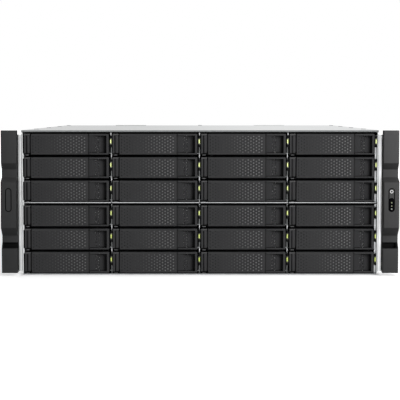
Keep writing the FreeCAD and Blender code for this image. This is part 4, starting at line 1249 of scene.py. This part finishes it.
# A black seal and edge under the lip stand where there is only shade: painted shade.
lip_seal = block(
    "lip_seal",
    (-SEAL_HALF, FRONT + 2.5 * MM, SEAL_LOW * MM),
    (SEAL_HALF, FRONT + 11.5 * MM, 175.8 * MM),
)
bevel(lip_seal, 0.4, 2, lambda a, b: max(a.z, b.z) < 174 * MM)
lip_edge = block(
    "lip_edge",
    (-LIP_HALF, FRONT + 0.1 * MM, LIP_LOW * MM),
    (LIP_HALF, FRONT + 1.8 * MM, 175.1 * MM),
)
bevel(lip_edge, 0.1, 2, lambda a, b: max(a.y, b.y) < FRONT + 0.2 * MM)
mount(join([lip_seal, lip_edge], "lip_seal"), shade_felt)

# Floor, light and camera
# A plain white table, painted darker where the pan meets it as a painted contact shadow, under soft
# studio light from the front and right, and a camera a little above the server, straight before its
# front.
bpy.ops.object.select_all(action="DESELECT")
bpy.ops.mesh.primitive_plane_add(size=24, location=(0, 0, 0))
floor = bpy.context.object
floor.name = "floor"
floor_paint, tree, shader = new_finish("floor_paint", Roughness=0.85, Specular_IOR_Level=0.1)
blend_colours(tree, object_noise(tree, 3, 2), "Fac", (0.55, 0.55, 0.55), (0.59, 0.59, 0.59), shader)
seen = shader_node(tree, "LightPath")
place = shader_node(tree, "TexCoord")
distance = shader_node(tree, "VectorMath")
distance.operation = "LENGTH"
wire(tree, place, "Object", distance, 0)
NEAR_GLOW = 0.54
FAR_GLOW = 1.1
far = shader_node(tree, "MapRange", From_Min=0.7, From_Max=1.7, To_Min=NEAR_GLOW, To_Max=FAR_GLOW)
wire(tree, distance, "Value", far, "Value")
# Ambient occlusion darkens the floor's white glow within 2 cm of the pan, but not beside it: a
# painted contact shadow.
open_air = shader_node(tree, "AmbientOcclusion", Distance=0.02)
across = compute(tree, "ABSOLUTE", (object_axes(tree), "X"))
beside = shader_node(tree, "MapRange", From_Min=0.214, From_Max=0.222)
wire(tree, across, "Value", beside, "Value")
contact_shadow = compute(tree, "MAXIMUM", (open_air, "AO"), (beside, "Result"))
clear = compute(tree, "MULTIPLY", (far, "Result"), (contact_shadow, "Value"))
direct = compute(tree, "MULTIPLY", (seen, "Is Camera Ray"), (clear, "Value"))
mirrored = compute(tree, "MULTIPLY", (seen, "Is Glossy Ray"), NEAR_GLOW)
strength = compute(tree, "MAXIMUM", (direct, "Value"), (mirrored, "Value"))
white = shader_node(tree, "Emission", Color=(1, 1, 1, 1))
wire(tree, strength, "Value", white, "Strength")
total = shader_node(tree, "AddShader")
wire(tree, shader, "BSDF", total, 0)
wire(tree, white, "Emission", total, 1)
wire(tree, total, "Shader", tree.nodes["Material Output"], "Surface")
floor.data.materials.append(floor_paint)

world = bpy.data.worlds.new("studio")
bpy.context.scene.world = world
world.use_nodes = True
tree = world.node_tree
sky = tree.nodes["Background"]
sky.inputs["Color"].default_value = (1, 1, 1, 1)
seen = shader_node(tree, "LightPath")
either = compute(tree, "MAXIMUM", (seen, "Is Camera Ray"), (seen, "Is Glossy Ray"))
any_seen = compute(tree, "MAXIMUM", (either, "Value"), (seen, "Is Transmission Ray"))
level = shader_node(tree, "MapRange", To_Min=0.26, To_Max=1.0)
wire(tree, any_seen, "Value", level, "Value")
wire(tree, level, "Result", sky, "Strength")


def soft_light(name, place, target, size, power):
    lamp = bpy.data.lights.new(name, "AREA")
    lamp.shape = "SQUARE"
    lamp.size = size
    lamp.energy = power
    made = bpy.data.objects.new(name, lamp)
    made.location = place
    made.rotation_euler = (Vector(target) - Vector(place)).to_track_quat("-Z", "Y").to_euler()
    made.visible_glossy = False
    bpy.context.collection.objects.link(made)


soft_light("front_right", (1.05, -1.5, 0.95), (0, -0.2, 0.09), 1.0, 42)
soft_light("overhead", (0.2, 0.1, 2.2), (0, 0, 0), 2.0, 14)

CAMERA_AWAY = 1.614
CAMERA_UP = 0.2002
CAMERA_DIP = 3.838
bpy.ops.object.camera_add(
    location=(0, FRONT - CAMERA_AWAY, CAMERA_UP), rotation=(radians(90 - CAMERA_DIP), 0, 0)
)
camera = bpy.context.object
camera.data.sensor_width = 36
camera.data.lens = 119.2
camera.data.dof.use_dof = False
bpy.context.scene.camera = camera
bpy.context.scene.view_settings.view_transform = "Standard"
